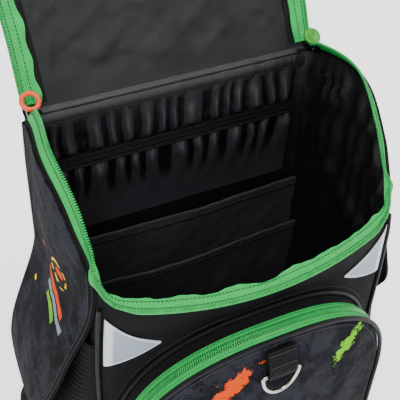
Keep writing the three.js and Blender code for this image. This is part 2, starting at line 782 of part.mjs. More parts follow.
// Padded panel on the outside of the back wall
function makeBackPad() {
  const levels = [[0, 0], [0.6, 0], [1, padRounding]];
  const [bottom, top] = [padFoot, padTop];
  const w = halfWidth - padMargin;
  const outline = (inset) => {
    const r = padCorner - inset;
    const points = [];
    const corners = [[1, 1, 0], [-1, 1, 1], [-1, -1, 2], [1, -1, 3]];
    for (const [sx, sz, turn] of corners) {
      const cx = sx * (w - inset - r);
      const cz = sz > 0 ? top - inset - r : bottom + inset + r;
      for (const t of shares(3)) {
        const angle = (Math.PI / 2) * (turn + t);
        points.push([cx + r * Math.cos(angle), cz + r * Math.sin(angle)]);
      }
    }
    return points;
  };
  const rings = levels.map(([share, inset]) => outline(inset).map(([x, z]) => (
    vec(x, backWall + clearance + share * padThickness, z)
  )));
  add('back_pad', loft(rings), 'black');
}

function makeHandle() {
  const stub = handleReach * 0.3;
  const root = backWall + clearance;
  const points = shares(8).map((t) => {
    const angle = Math.PI * t;
    const out = stub + (handleReach - stub) * Math.sin(angle);
    return vec((-handleSpan / 2) * Math.cos(angle), root + out, handleHeight);
  });
  points.unshift(vec(-handleSpan / 2, root, handleHeight));
  points.push(vec(handleSpan / 2, root, handleHeight));
  add('grab_handle', cord(points, handleRadius, vec(0, 0, 1), false, 8), 'black');
}

// Route of a shoulder strap: stand-off from the back wall and height, as shares of the named sizes
const strapRoute = [
  { out: 0, rise: 1 }, { out: 0.14, rise: 1 }, { out: 0.4, rise: 1.02 },
  { out: 0.68, rise: 0.99 }, { out: 0.9, rise: 0.86 }, { out: 1, rise: 0.64 },
  { out: 0.98, rise: 0.4 }, { out: 0.88, rise: 0.18 }, { out: 0.76, rise: 0 },
];

function makeStrap(side, suffix) {
  const strapY = (out) => backWall + clearance + out * strapSwing;
  const strapZ = (rise) => mix(strapEndHeight, strapRoot, rise);
  const points = strapRoute.map(({ out, rise }) => vec(side * strapCentre, strapY(out), strapZ(rise)));
  add(`shoulder_strap_${suffix}`, band(points, strapWidth, strapThickness, 0.8), 'black');

  const end = points[points.length - 1];
  const down = end.clone().sub(points[points.length - 2]).normalize();
  const buckle = new THREE.BoxGeometry(
    webbingWidth + 2 * buckleMargin, buckleThickness, buckleLength,
  );
  const half = buckleLength / 2 + 2 * clearance;
  const mesh = add(`strap_buckle_${suffix}`, buckle, 'plastic');
  mesh.position.copy(end).addScaledVector(down, half);
  mesh.rotation.x = Math.atan2(down.y, -down.z);
  const start = mesh.position.clone().addScaledVector(down, half);
  const anchorX = side * (halfWidth - 1.4 * webbingWidth);
  const anchor = vec(anchorX, backWall + clearance + 2 * webbingThickness, webbingFoot);
  const { across, out: leadOut, up } = webbingLead;
  const lead = anchor.clone().add(vec(-side * across, leadOut, up));
  const middle = start.clone().lerp(lead, 0.5).add(vec(0, webbingSag.out, -webbingSag.down));
  const webbing = [start, start.clone().addScaledVector(down, webbingWidth / 2), middle, lead, anchor];
  add(`strap_webbing_${suffix}`, band(webbing, webbingWidth, webbingThickness), 'black');
}

// Zip sliders at the rear ends of the rim zip, each with its puller
function makeSlider(side, suffix) {
  const rearDepth = (rimRadius / 2) / bodyDepth;
  const rim = rimHeightAt(halfWidth, rearDepth);
  const lowest = rim + tapeStand * 0.3;
  const slider = new THREE.BoxGeometry(sliderWidth, sliderLength, sliderHeight);
  const x = side * (halfWidth - tapeStand + 1);
  const y = halfDepth - rimRadius + clearance + sliderLength / 2;
  add(`slider_${suffix}`, slider, 'nickel').position.set(x, y, lowest + sliderHeight / 2);
  return vec(x, y, lowest + sliderHeight);
}

function makePullers() {
  const left = makeSlider(-1, 'left');
  const ring = new THREE.TorusGeometry(pullerRingRadius, pullerWire, 8, 14);
  add('puller_left', ring, 'orange').position.copy(left)
    .add(vec(0, pullerShift, pullerWire + clearance));
  const right = makeSlider(1, 'right');
  const disc = new THREE.CylinderGeometry(
    pullerDiscRadius, pullerDiscRadius, pullerDiscThickness, 16,
  );
  disc.rotateX(Math.PI / 2);
  add('puller_right', disc, 'lime').position.copy(right)
    .add(vec(0, pullerShift, pullerDiscThickness / 2 + clearance));
}

makeBody();
makeRimZipper();
makeLid();
makeSideFlap(-1, 'side_flap_left');
makeSideFlap(1, 'side_flap_right');
makeSidePocket(-1, 'side_pocket_left');
makeSidePocket(1, 'side_pocket_right');
makeFrontPocket();
makeHangingTab();
makePatch(-1, 'patch_left');
makePatch(1, 'patch_right');
const cornerStarts = {
  frontRight: frontCount,
  rearRight: frontCount + cornerCount + sideCount,
};
cornerStarts.rearLeft = cornerStarts.rearRight + cornerCount + backCount;
cornerStarts.frontLeft = cornerStarts.rearLeft + cornerCount + sideCount;
makeCornerPiping(cornerStarts.frontLeft, 0.95, 'corner_piping_front_left');
makeCornerPiping(cornerStarts.frontRight, 0.95, 'corner_piping_front_right');
makeCornerPiping(cornerStarts.rearLeft, 0.96, 'corner_piping_rear_left');
makeCornerPiping(cornerStarts.rearRight, 0.96, 'corner_piping_rear_right');
makeHingeBand();
makeBackLining();
makeDivider('divider_rear', rearDivider);
makeDivider('divider_front', frontDivider);
makeBackPad();
makeHandle();
makeStrap(-1, 'left');
makeStrap(1, 'right');
makePullers();

export default ransel;
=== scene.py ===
"""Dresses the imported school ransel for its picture: cloth, zips, trim and fittings over the fixed frame.

Shapes are worked out in millimetres, with +X to the bag's right, +Y to its back and +Z up.
They become metres when a piece is made.
"""
import math

import bpy
import numpy as np
from mathutils import Matrix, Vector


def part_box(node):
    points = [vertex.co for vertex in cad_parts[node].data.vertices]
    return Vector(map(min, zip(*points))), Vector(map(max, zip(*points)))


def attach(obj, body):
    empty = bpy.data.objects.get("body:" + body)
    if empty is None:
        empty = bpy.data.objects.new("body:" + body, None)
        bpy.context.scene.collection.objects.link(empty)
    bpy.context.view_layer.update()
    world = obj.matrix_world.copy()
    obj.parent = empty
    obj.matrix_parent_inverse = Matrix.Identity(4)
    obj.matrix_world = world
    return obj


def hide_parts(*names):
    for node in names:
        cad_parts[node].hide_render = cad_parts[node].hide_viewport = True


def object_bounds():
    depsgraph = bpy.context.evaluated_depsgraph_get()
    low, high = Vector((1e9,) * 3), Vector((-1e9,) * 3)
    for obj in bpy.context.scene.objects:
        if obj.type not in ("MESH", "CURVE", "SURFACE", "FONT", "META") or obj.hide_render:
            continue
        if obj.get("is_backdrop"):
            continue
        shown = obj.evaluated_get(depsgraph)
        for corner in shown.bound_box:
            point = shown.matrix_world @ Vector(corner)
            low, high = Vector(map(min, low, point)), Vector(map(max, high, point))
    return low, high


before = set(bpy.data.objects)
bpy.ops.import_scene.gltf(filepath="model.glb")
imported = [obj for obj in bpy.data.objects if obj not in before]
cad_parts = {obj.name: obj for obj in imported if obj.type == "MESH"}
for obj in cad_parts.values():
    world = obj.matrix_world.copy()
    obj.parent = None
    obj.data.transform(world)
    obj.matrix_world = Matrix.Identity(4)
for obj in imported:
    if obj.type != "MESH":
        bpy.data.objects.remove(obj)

cad_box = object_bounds()

# Sizes of the body, in millimetres, from the frame
MM = 0.001


def node_box(node):
    """Low and high corner of a frame node, in millimetres."""
    return [np.array(corner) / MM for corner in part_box(node)]


_, SHELL_HIGH = node_box("body_shell")
HALF_WIDTH = SHELL_HIGH[0]
HALF_DEPTH = SHELL_HIGH[1]
BODY_DEPTH = 2 * HALF_DEPTH
BODY_HEIGHT = 345
WALL = 3
CLEAR = 0.3

# Rim, corners and bow of the front panel
FRONT_RIM = 283
RIM_FALL = 2.66
RIM_HUMP = 17
RIM_DIP = 14
PANEL_BOW = 16
RIM_BOW = 24
FLARE = 36
SEAM_RADIUS = 10
RIM_RADIUS = 16
BASE_INSET = 4
BASE_RISE = 6

# Zips
TAPE_INNER = 7
TAPE_OUTER = 9
RUFFLE = 1.1
RUFFLE_LENGTH = 34
TOOTH_PITCH = 1.9
STITCH_PITCH = 3.1

# Lid
LID_HALF = 119
LID_LENGTH = 178
LID_BOW = 26
LID_CORNER = 26
LID_THICKNESS = 3
LID_LEAN = (52, 40)
LID_DISH = 7
HINGE_Y = HALF_DEPTH + 2 * CLEAR
HINGE_Z = BODY_HEIGHT + 3 * CLEAR

# Side flaps and side pockets
FLAP_REACH = 38
FLAP_LEAVE = (268, 226)
FLAP_TIP = 68
FLAP_CLOTH = 1.6
POCKET_REACH = 38
POCKET_MOUTH = (232, 184)
POCKET_FLOOR = 5
RIB_PITCH = 5.5

# Rim and its bound edge
FOLD_START = 0.86
RIM_STEP = 1.6
BIND_RADIUS = 1.6
BIND_INSET = 1.2
BIND_RISE = (0.5, -1.3)
BELLY = 6.5
DRAW_IN = 4.5

# Back wall, trim and straps
BACK_LINING_Y = 70.3
PIPING_RADIUS = 2.0
WEBBING_WIDTH = 25
STRAP_AT = 58.0
STRAP_WIDTH = 60
STRAP_THICKNESS = 8.6
STRAP_EDGE = 29.6
HANDLE_HALF = 50
HANDLE_HEIGHT = 318.0
HANDLE_REACH = 30
PULLER_TILT = 0.6

# Front pocket
ARCH_HALF = 118
ARCH_TOP = 234
ARCH_SPRING = 119
ARCH_POWER = 2.26
ARCH_FLOOR = 16
ARCH_CORNER = 30
GUSSET = 30
GUSSET_WALL = 2
FACE_DOME = 6
ZIP_START = 13.5
ZIP_WIDTH = 15
ZIP_FOOT = 108
RING_BAR = 203
RING_BAR_Y = -129.23
RING_HALF = 16
RING_DROP = 24
WIRE = 1.7


def mix(a, b, t):
    return a + (b - a) * t


def smooth(t):
    t = np.clip(t, 0, 1)
    return t * t * (3 - 2 * t)


def span(low, high, step):
    """Even steps of about the given length from low to high."""
    return np.linspace(low, high, max(2, int(round(abs(high - low) / step)) + 1))


def ripple(a, b, size, seed, octaves=3):
    """Soft irregular waves from about -1 to 1: sines whose directions and phases come from the seed."""
    dice = np.random.default_rng(seed)
    total = 0.0
    for octave in range(octaves):
        for _ in range(5):
            turn, phase = dice.uniform(0, 2 * np.pi, 2)
            pace = 2 * np.pi / size * 2 ** octave * dice.uniform(0.7, 1.3)
            total = total + np.sin((a * np.cos(turn) + b * np.sin(turn)) * pace + phase) / 2 ** octave
    return total / 4


def pleats(x, pitch, seed):
    """Uneven folds from 0 to 1: a cosine whose phase wanders along x, sharpened at its crests."""
    wander = 1.3 * np.sin(x / pitch * 1.9 + seed) + 0.9 * np.sin(x / pitch * 1.07 + 2.3 * seed)
    return (0.5 + 0.5 * np.cos(2 * np.pi * x / pitch + wander)) ** 1.4


def curve(rows, t):
    """Catmull-Rom curve through rows of numbers, read at shares t of its length in rows."""
    rows = np.asarray(rows, float)
    last = len(rows) - 1
    place = np.clip(np.asarray(t, float), 0, 1) * last
    i = np.minimum(place.astype(int), last - 1)
    s = (place - i)[..., None]
    p0, p1, p2, p3 = (rows[np.clip(i + k, 0, last)] for k in (-1, 0, 1, 2))
    bend = 2 * p1 + (p2 - p0) * s + (2 * p0 - 5 * p1 + 4 * p2 - p3) * s ** 2
    return (bend + (3 * p1 - p0 - 3 * p2 + p3) * s ** 3) / 2


def unit(v):
    return v / np.maximum(np.linalg.norm(v, axis=-1, keepdims=True), 1e-9)


def lengths(path):
    """Distance travelled along a path at each of its points."""
    return np.concatenate([[0], np.cumsum(np.linalg.norm(np.diff(path, axis=0), axis=1))])


def resample(path, step, *others):
    """The path at even steps of its length, and other arrays that go with its points."""
    far = lengths(path)
    places = np.linspace(0, far[-1], max(2, int(round(far[-1] / step)) + 1))
    read = [
        np.stack([np.interp(places, far, rows[:, k]) for k in range(rows.shape[1])], 1)
        for rows in (path, *others)
    ]
    return read if others else read[0]


# Meshes


class Piece:
    """Collects closed parts in millimetres, turns each outwards and makes one mesh of them in metres."""

    def __init__(self):
        self.points = []
        self.faces = []
        self.corners = []
        self.count = 0
        self.marks = []

    def _part(self, points, faces, corners, mark):
        volume = 0.0
        for size in {f.shape[1] for f in faces}:
            same = np.concatenate([f for f in faces if f.shape[1] == size])
            for k in range(1, size - 1):
                a, b, c = (points[same[:, n]] for n in (0, k, k + 1))
                volume += (a * np.cross(b, c)).sum()
        for face, corner in zip(faces, corners):
            if volume < 0:
                face, corner = face[:, ::-1], corner[:, ::-1]
            self.faces.append(face + self.count)
            self.corners.append(corner)
        self.points.append(points)
        self.marks.append(np.broadcast_to(mark, (len(points),)))
        self.count += len(points)

    def tube(self, rings, closed=False, mark=0.0):
        """A closed surface through rows of rings, capped at its ends or joined end to end."""
        rows, columns = rings.shape[:2]
        index = np.arange(rows * columns).reshape(rows, columns)
        across = np.linalg.norm(rings - np.roll(rings, -1, 1), axis=2).mean(0)
        u = np.concatenate([[0], np.cumsum(across)])
        v = np.linalg.norm(np.diff(rings, axis=0), axis=2).mean(1)
        v = np.concatenate([[0], np.cumsum(v)])
        wide = np.column_stack([index, index[:, :1]])
        if closed:
            wide = np.vstack([wide, wide[:1]])
            v = np.concatenate([v, [v[-1] + np.linalg.norm(rings[0] - rings[-1], axis=1).mean()]])
        uv = np.stack(np.meshgrid(u, v), -1)
        faces = [_quads(wide)]
        corners = [_quad_corners(uv)]
        if not closed:
            for ring in (index[0][::-1], index[-1]):
                faces.append(ring[None, :])
                flat = rings.reshape(-1, 3)[ring]
                corners.append((flat[:, :2] + flat[:, 2:])[None])
        mark = np.broadcast_to(mark, (rows, columns)).reshape(-1)
        self._part(rings.reshape(-1, 3), faces, corners, mark)
        return self

    def plate(self, front, back, mark=0.0):
        """A thin closed sheet between two grids that have the same rows and columns."""
        rows, columns = front.shape[:2]
        points = np.concatenate([front, back[:, ::-1]], 1)
        index = np.arange(rows * 2 * columns).reshape(rows, 2 * columns)
        u = np.concatenate([[0], np.cumsum(np.linalg.norm(np.diff(front, axis=1), axis=2).mean(0))])
        v = np.concatenate([[0], np.cumsum(np.linalg.norm(np.diff(front, axis=0), axis=2).mean(1))])
        wide_u = np.concatenate([u, u[::-1], u[:1]])
        uv = np.stack(np.meshgrid(wide_u, v), -1)
        faces = [_quads(np.column_stack([index, index[:, :1]]))]
        corners = [_quad_corners(uv)]
        ends = ((0, True), (rows - 1, False))
        for row, flip in ends:
            ahead, behind = index[row, :columns], index[row, columns:][::-1]
            quads = np.stack([ahead[:-1], ahead[1:], behind[1:], behind[:-1]], -1)
            faces.append(quads[:, ::-1] if flip else quads)
            edge = np.stack([u, np.full(columns, v[row])], -1)
            four = np.stack([edge[:-1], edge[1:], edge[1:], edge[:-1]], 1)
            corners.append(four[:, ::-1] if flip else four)
        mark = np.broadcast_to(mark, (rows, columns))
        mark = np.concatenate([mark, mark[:, ::-1]], 1).reshape(-1)
        self._part(points.reshape(-1, 3), faces, corners, mark)
        return self

    def beads(self, centres, along, side, length, width, height, mark=0.0, sides=6):
        """Small rounded bars, one at each centre: four rings each, fuller at the middle."""
        over = np.cross(along, side)
        steps = np.array([-1.0, -0.72, 0.72, 1.0])
        full = np.array([0.35, 1.0, 1.0, 0.35])
        turn = np.arange(sides) * 2 * np.pi / sides
        rings = (
            centres[:, None, None]
            + along[:, None, None] * (steps * length / 2)[None, :, None, None]
            + side[:, None, None] * (full[:, None] * np.cos(turn) * width / 2)[None, ..., None]
            + over[:, None, None] * (full[:, None] * np.sin(turn) * height / 2)[None, ..., None]
        )
        number = len(centres)
        each = 4 * sides
        index = np.arange(each).reshape(4, sides)
        quads = _quads(np.column_stack([index, index[:, :1]]))
        start = (np.arange(number) * each)[:, None, None]
        faces = [(quads[None] + start).reshape(-1, 4)]
        for ring in (index[0][::-1], index[-1]):
            faces.append((ring[None, None] + start).reshape(-1, sides))
        points = rings.reshape(-1, 3)
        corners = [(points[f][..., :2] + points[f][..., 2:]) for f in faces]
        self._part(points, faces, corners, mark)
        return self

    def seam(self, path, normal, pitch=STITCH_PITCH, length=2.2, width=0.55, raise_by=0.15):
        """Running stitches along a path that lies on a surface with the given normals."""
        normal = np.broadcast_to(np.asarray(normal, float), path.shape)
        at, up = resample(path, pitch, normal)
        along = unit(np.gradient(at, axis=0))
        side = unit(np.cross(unit(up), along))
        return self.beads(at + unit(up) * raise_by, along, side, length, width, width)

    def teeth(self, path, across, pitch=TOOTH_PITCH, length=3.6, width=1.35, height=1.9):
        """Coil of a zip: bars that lie across the path, a pitch apart."""
        at, side = resample(path, pitch, across)
        along = unit(np.gradient(at, axis=0))
        side = unit(side - along * (side * along).sum(1, keepdims=True))
        return self.beads(at, side, along, length, width, height)

    def make(self, name, finish, slot, nodes=(), body="bag", crease=48):
        """Makes the mesh, in metres, with its cloth coordinates and marks, and puts it on its body."""
        points = np.concatenate(self.points) * MM
        mesh = bpy.data.meshes.new(name)
        faces = [list(map(int, row)) for block in self.faces for row in block]
        mesh.from_pydata(points.tolist(), [], faces)
        corners = np.concatenate([c.reshape(-1, 2) for c in self.corners]) * MM
        layer = mesh.uv_layers.new(name="Cloth")
        layer.data.foreach_set("uv", corners.astype(np.float32).ravel())
        marks = mesh.attributes.new("mark", "FLOAT", "POINT")
        marks.data.foreach_set("value", np.concatenate(self.marks).astype(np.float32))
        mesh.update()
        mesh.shade_smooth()
        mesh.set_sharp_from_angle(angle=math.radians(crease))
        piece = bpy.data.objects.new(name, mesh)
        bpy.context.scene.collection.objects.link(piece)
        mesh.materials.append(finish)
        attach(piece, body)
        if nodes:
            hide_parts(*nodes)
        return piece


def _quads(index):
    return np.stack([index[:-1, :-1], index[:-1, 1:], index[1:, 1:], index[1:, :-1]], -1).reshape(-1, 4)


def _quad_corners(uv):
    return np.stack([uv[:-1, :-1], uv[:-1, 1:], uv[1:, 1:], uv[1:, :-1]], 2).reshape(-1, 4, 2)


def round_rings(path, radius, normal, closed=False, sides=10, flat=1.0):
    """Rings of a round cord along a path; normal is roughly square to the path."""
    normal = np.broadcast_to(np.asarray(normal, float), path.shape)
    if closed:
        along = unit(np.roll(path, -1, 0) - np.roll(path, 1, 0))
    else:
        along = unit(np.gradient(path, axis=0))
    out = unit(np.cross(normal, along))
    over = np.cross(along, out)
    turn = np.arange(sides) * 2 * np.pi / sides
    radius = np.broadcast_to(radius, (len(path),))[:, None, None]
    return path[:, None] + radius * (
        out[:, None] * np.cos(turn)[None, :, None] + over[:, None] * flat * np.sin(turn)[None, :, None]
    )


def bar_rings(path, side, width, thickness, softness=0.5, sides=16):
    """Rings of a flat band along a path: a superellipse, wide along side and thin across it."""
    side = np.broadcast_to(np.asarray(side, float), path.shape)
    along = unit(np.gradient(path, axis=0))
    side = unit(side - along * (side * along).sum(1, keepdims=True))
    over = np.cross(along, side)
    turn = np.arange(sides) * 2 * np.pi / sides
    c = np.sign(np.cos(turn)) * np.abs(np.cos(turn)) ** softness
    s = np.sign(np.sin(turn)) * np.abs(np.sin(turn)) ** softness
    width = np.broadcast_to(width, (len(path),))[:, None, None]
    thickness = np.broadcast_to(thickness, (len(path),))[:, None, None]
    wide = side[:, None] * c[None, :, None] * width / 2
    return path[:, None] + wide + over[:, None] * s[None, :, None] * thickness / 2


def block_rings(size, power=0.35, rows=12, sides=24):
    """A rounded block: a superellipsoid with its poles on its third axis, in rings from pole to pole."""
    lift = np.linspace(-np.pi / 2, np.pi / 2, rows)
    lift[0] += 0.02
    lift[-1] -= 0.02
    turn = np.arange(sides) * 2 * np.pi / sides

    def sharpen(v):
        return np.sign(v) * np.abs(v) ** power

    x = sharpen(np.cos(lift))[:, None] * sharpen(np.cos(turn))
    y = sharpen(np.cos(lift))[:, None] * sharpen(np.sin(turn))
    z = np.broadcast_to(sharpen(np.sin(lift))[:, None], x.shape)
    return np.stack([x, y, z], -1) * np.asarray(size) / 2


# Finishes


def srgb(red, green, blue):
    """A linear colour from the usual 0 to 255 values."""
    share = np.array([red, green, blue]) / 255
    linear = np.where(share <= 0.04045, share / 12.92, ((share + 0.055) / 1.055) ** 2.4)
    return (*map(float, linear), 1.0)


class Value:
    """A number or colour that changes over a surface; sums and products add Math nodes."""

    def __init__(self, finish, socket):
        self.finish = finish
        self.socket = socket

    def _math(self, operation, *values):
        return self.finish.node("ShaderNodeMath", {"operation": operation}, values)

    def __add__(self, other):
        return self._math("ADD", self, other)

    __radd__ = __add__

    def __sub__(self, other):
        return self._math("SUBTRACT", self, other)

    def __rsub__(self, other):
        return self._math("SUBTRACT", other, self)

    def __mul__(self, other):
        return self._math("MULTIPLY", self, other)

    __rmul__ = __mul__

    def __truediv__(self, other):
        return self._math("DIVIDE", self, other)

    def __pow__(self, other):
        return self._math("POWER", self, other)

    def wave(self, pitch):
        """Sine of the value, from -1 to 1, once each pitch."""
        return self._math("SINE", self * (2 * math.pi / pitch))

    def size(self):
        return self._math("ABSOLUTE", self)

    def most(self, other):
        return self._math("MAXIMUM", self, other)

    def step(self, low, high):
        """Rises smoothly from 0 at low to 1 at high, or falls where low is the larger."""
        if low > high:
            return 1 - self.step(high, low)
        inputs = {"Value": self, "From Min": low, "From Max": high}
        return self.finish.node("ShaderNodeMapRange", {"interpolation_type": "SMOOTHSTEP"}, inputs)


class Finish:
    """A material, and the one method that adds a node to it."""

    def __init__(self, name, roughness=0.8, metallic=0.0, coat=0.0, specular=0.5):
        self.material = bpy.data.materials.new(name)
        self.material.use_nodes = True
        self.tree = self.material.node_tree
        self.shader = self.tree.nodes["Principled BSDF"]
        for socket, value in {
            "Roughness": roughness, "Metallic": metallic,
            "Coat Weight": coat, "Specular IOR Level": specular,
        }.items():
            self.shader.inputs[socket].default_value = value

    def node(self, kind, settings=None, inputs=(), output=0):
        """Adds a node: its settings, then the values or links of its sockets, and returns one output."""
        node = self.tree.nodes.new(kind)
        for key, value in (settings or {}).items():
            setattr(node, key, value)
        pairs = inputs.items() if isinstance(inputs, dict) else enumerate(inputs)
        for key, value in pairs:
            if isinstance(value, Value):
                self.tree.links.new(value.socket, node.inputs[key])
            else:
                node.inputs[key].default_value = value
        return Value(self, node.outputs[output])

    def place(self):
        """The x, y and z of a point, in metres."""
        where = self.node("ShaderNodeTexCoord", output="Object")
        return where, [self.node("ShaderNodeSeparateXYZ", None, (where,), k) for k in range(3)]

    def cloth(self):
        """The piece's cloth coordinates, across and along, in metres."""
        where = self.node("ShaderNodeUVMap", {"uv_map": "Cloth"})
        return where, [self.node("ShaderNodeSeparateXYZ", None, (where,), k) for k in range(2)]

    def mark(self):
        return self.node("ShaderNodeAttribute", {"attribute_name": "mark"}, output="Fac")

    def noise(self, where, size, detail=3.0, rough=0.55, stretch=None):
        """Cloudy noise about 0.5 whose blobs are about the given size in metres."""
        if stretch is not None:
            where = self.node("ShaderNodeMapping", None, {"Vector": where, "Scale": stretch})
        inputs = {"Vector": where, "Scale": 1 / size, "Detail": detail, "Roughness": rough}
        return self.node("ShaderNodeTexNoise", None, inputs)

    def blend(self, share, first, second):
        """Colours mixed by a share from 0 to 1."""
        return self.node("ShaderNodeMix", {"data_type": "RGBA"}, {0: share, 6: first, 7: second}, 2)

    def paint(self, colour=None, roughness=None, bump=None, depth=0.0003, strength=1.0):
        """Links what changes over the surface into the shader and returns the material."""
        if colour is not None:
            self.tree.links.new(colour.socket, self.shader.inputs["Base Color"])
        if roughness is not None:
            self.tree.links.new(roughness.socket, self.shader.inputs["Roughness"])
        if bump is not None:
            inputs = {"Height": bump, "Distance": depth, "Strength": strength}
            bumped = self.node("ShaderNodeBump", None, inputs)
            self.tree.links.new(bumped.socket, self.shader.inputs["Normal"])
        return self.material


def weave(finish, across, along, pitch=0.0011):
    """Height of a plain weave: warp and weft sines that take turns on top."""
    warp = across.wave(pitch)
    weft = along.wave(pitch)
    return warp * weft * 0.5 + (warp + weft) * 0.2


def black_cloth():
    finish = Finish("black_cloth", roughness=0.82, specular=0.12)
    _, (across, along) = finish.cloth()
    solid, _ = finish.place()
    cloud = finish.noise(solid, 0.05)
    worn = finish.noise(solid, 0.004, 2.0)
    colour = finish.blend(cloud * 0.7 + worn * 0.3, srgb(9, 9, 10), srgb(21, 20, 22))
    height = weave(finish, across, along) + cloud * 1.5
    return finish.paint(colour, cloud * 0.15 + 0.74, height, 0.00025)


def lining_cloth(name, dark, pale, gloss, roughness):
    """Smooth lining cloth with fine streaks; gloss is its reflection at a right angle."""
    finish = Finish(name, roughness=roughness, specular=gloss)
    where, (across, along) = finish.cloth()
    solid, _ = finish.place()
    cloud = finish.noise(solid, 0.06)
    streak = finish.noise(where, 0.004, 2.0, stretch=(3.0, 0.35, 1.0))
    colour = finish.blend(cloud * 0.6 + streak * 0.4, dark, pale)
    height = weave(finish, across, along, 0.0009) * 0.6 + streak * 0.8
    return finish.paint(colour, cloud * 0.16 + streak * 0.1 + (roughness - 0.13), height, 0.0002)


def gathered_satin():
    """Satin of the gathers: paler than the body lining on the fold crests as painted highlight, and nearly
    black in the hollows between folds as painted shade, which the mark gives.
    """
    finish = Finish("gathered_satin", roughness=0.38, specular=0.55)
    where, _ = finish.cloth()
    solid, _ = finish.place()
    cloud = finish.noise(solid, 0.03)
    streak = finish.noise(where, 0.003, 2.0, stretch=(3.0, 0.3, 1.0))
    crest = finish.blend(cloud * 0.5 + streak * 0.5, srgb(25, 25, 28), srgb(46, 45, 51))
    # The mark paints shade into the hollows between the folds.
    colour = finish.blend(finish.mark().step(0.1, 0.9), crest, srgb(4, 4, 5))
    return finish.paint(colour, cloud * 0.16 + 0.28, streak, 0.0002)


def hem_cloth():
    finish = Finish("hem_cloth", roughness=0.6, specular=0.12)
    _, (_, along) = finish.cloth()
    solid, _ = finish.place()
    cloud = finish.noise(solid, 0.03)
    ribs = along.wave(0.0016)
    colour = finish.blend(cloud, srgb(7, 7, 9), srgb(15, 15, 18))
    return finish.paint(colour, cloud * 0.2 + 0.45, ribs + cloud, 0.00025)


def smudges(finish, solid):
    """Charcoal smudge print: pale and dark clouds of three sizes with a slanting drag."""
    drift = finish.noise(solid, 0.04, 4.0, 0.62, stretch=(1.0, 1.2, 0.85))
    blot = finish.noise(solid, 0.011, 6.0, 0.72)
    fleck = finish.noise(solid, 0.003, 3.0, 0.65)
    tone = (drift * 0.4 + blot * 0.42 + fleck * 0.18).step(0.445, 0.555)
    tint = finish.noise(solid, 0.05, 1.0).step(0.4, 0.62)
    dark = finish.blend(tint, srgb(8, 9, 12), srgb(10, 10, 17))
    pale = finish.blend(tint, srgb(33, 35, 39), srgb(35, 36, 45))
    return finish.blend(tone, dark, pale)


def print_cloth(name, motifs=()):
    """Smudge print with generic motifs laid over it: each is a share of cover and a colour."""
    finish = Finish(name, roughness=0.85, specular=0.08)
    _, (across, along) = finish.cloth()
    solid, axes = finish.place()
    colour = smudges(finish, solid)
    for cover, paint in (part for make in motifs for part in make(finish, solid, axes)):
        colour = finish.blend(cover, colour, paint)
    bound = finish.mark().step(7.4, 6.6)
    colour = finish.blend(bound, colour, srgb(11, 11, 13))
    height = weave(finish, across, along) + finish.noise(solid, 0.03) * 1.2
    return finish.paint(colour, finish.noise(solid, 0.02) * 0.1 + 0.78, height, 0.00022)


LIME = srgb(104, 176, 6)
ORANGE = srgb(206, 68, 0)
YELLOW = srgb(226, 184, 42)
GREY = srgb(120, 135, 140)


def slant_art(finish, solid, axes):
    """Generic print of the side panel: three slanting bars, a ring of dashes and two squares."""
    _, y, z = axes
    rough = (finish.noise(solid, 0.003, 2.0) - 0.5) * 0.0022
    level = y * -0.38 + z * 0.925
    run = y * 0.925 + z * 0.38
    for middle, low, high, paint in (
        (0.2135, 0.060, 0.106, ORANGE), (0.2035, 0.052, 0.099, GREY), (0.1935, 0.066, 0.093, LIME),
    ):
        bar = (level - middle + rough).size().step(0.0036, 0.0030)
        ends = (run - (low + high) / 2 + rough).size().step((high - low) / 2, (high - low) / 2 - 0.001)
        yield bar * ends, paint
    far = ((run - 0.088) ** 2 + (level - 0.238) ** 2) ** 0.5
    ring = (far - 0.0125 + rough * 0.5).size().step(0.0017, 0.0012)
    dashes = ((run - 0.088) * 0.7 + (level - 0.238) * 0.7).wave(0.009).step(-0.55, -0.35)
    yield ring * dashes, YELLOW
    yield (far + rough).step(0.0062, 0.0055), ORANGE
    for across, up, half, paint in ((0.125, 0.216, 0.0032, ORANGE), (0.116, 0.169, 0.0024, YELLOW)):
        square = (run - across).size().most((level - up).size())
        yield (square + rough * 0.4).step(half, half - 0.0005), paint


def splat(x_at, z_at, reach, lean, paint, more_specks):
    """A blot of paint: a lean oval whose edge is torn by noise, with specks round it."""

    def cover(finish, solid, axes):
        x, _, z = axes
        torn = finish.noise(solid, 0.008, 5.0, 0.68) - 0.5
        c, s = math.cos(lean), math.sin(lean)
        run = ((x - x_at) * c + (z - z_at) * s) / reach
        off = ((x - x_at) * -s + (z - z_at) * c) / (reach * 0.36)
        far = (run ** 2 + off ** 2) ** 0.5 + torn * 3.4
        yield far.step(1.0, 0.94), paint
        specks = finish.noise(solid, 0.0042, 1.0, 0.4) + more_specks
        near = (run ** 2 + off ** 2) ** 0.5
        yield specks.step(0.71, 0.725) * near.step(1.9, 1.3), paint

    return cover


def rib_cloth():
    finish = Finish("rib_cloth", roughness=0.75, specular=0.12)
    _, (across, _) = finish.cloth()
    solid, _ = finish.place()
    knit = across.wave(0.0013)
    cloud = finish.noise(solid, 0.02)
    colour = finish.blend(cloud, srgb(9, 9, 10), srgb(18, 18, 20))
    return finish.paint(colour, cloud * 0.1 + 0.7, knit + cloud, 0.00025)


def zip_tape():
    """Woven tape: herringbone ribs along it, with their crowns painted paler as painted highlight."""
    finish = Finish("zip_tape", roughness=0.6, specular=0.2)
    _, (across, along) = finish.cloth()
    solid, _ = finish.place()
    cloud = finish.noise(solid, 0.012, 3.0)
    rib = across.wave(0.0016)
    twill = (across + along * 0.6).wave(0.0014)
    # Uneven tone from the cloud, with rib and twill crowns painted paler: painted highlight.
    shade = cloud * 0.55 + rib * 0.12 + twill * 0.1 + 0.2
    colour = finish.blend(shade, srgb(10, 130, 52), srgb(46, 198, 96))
    return finish.paint(colour, cloud * 0.15 + 0.5, rib * 0.6 + twill * 0.5, 0.0003)


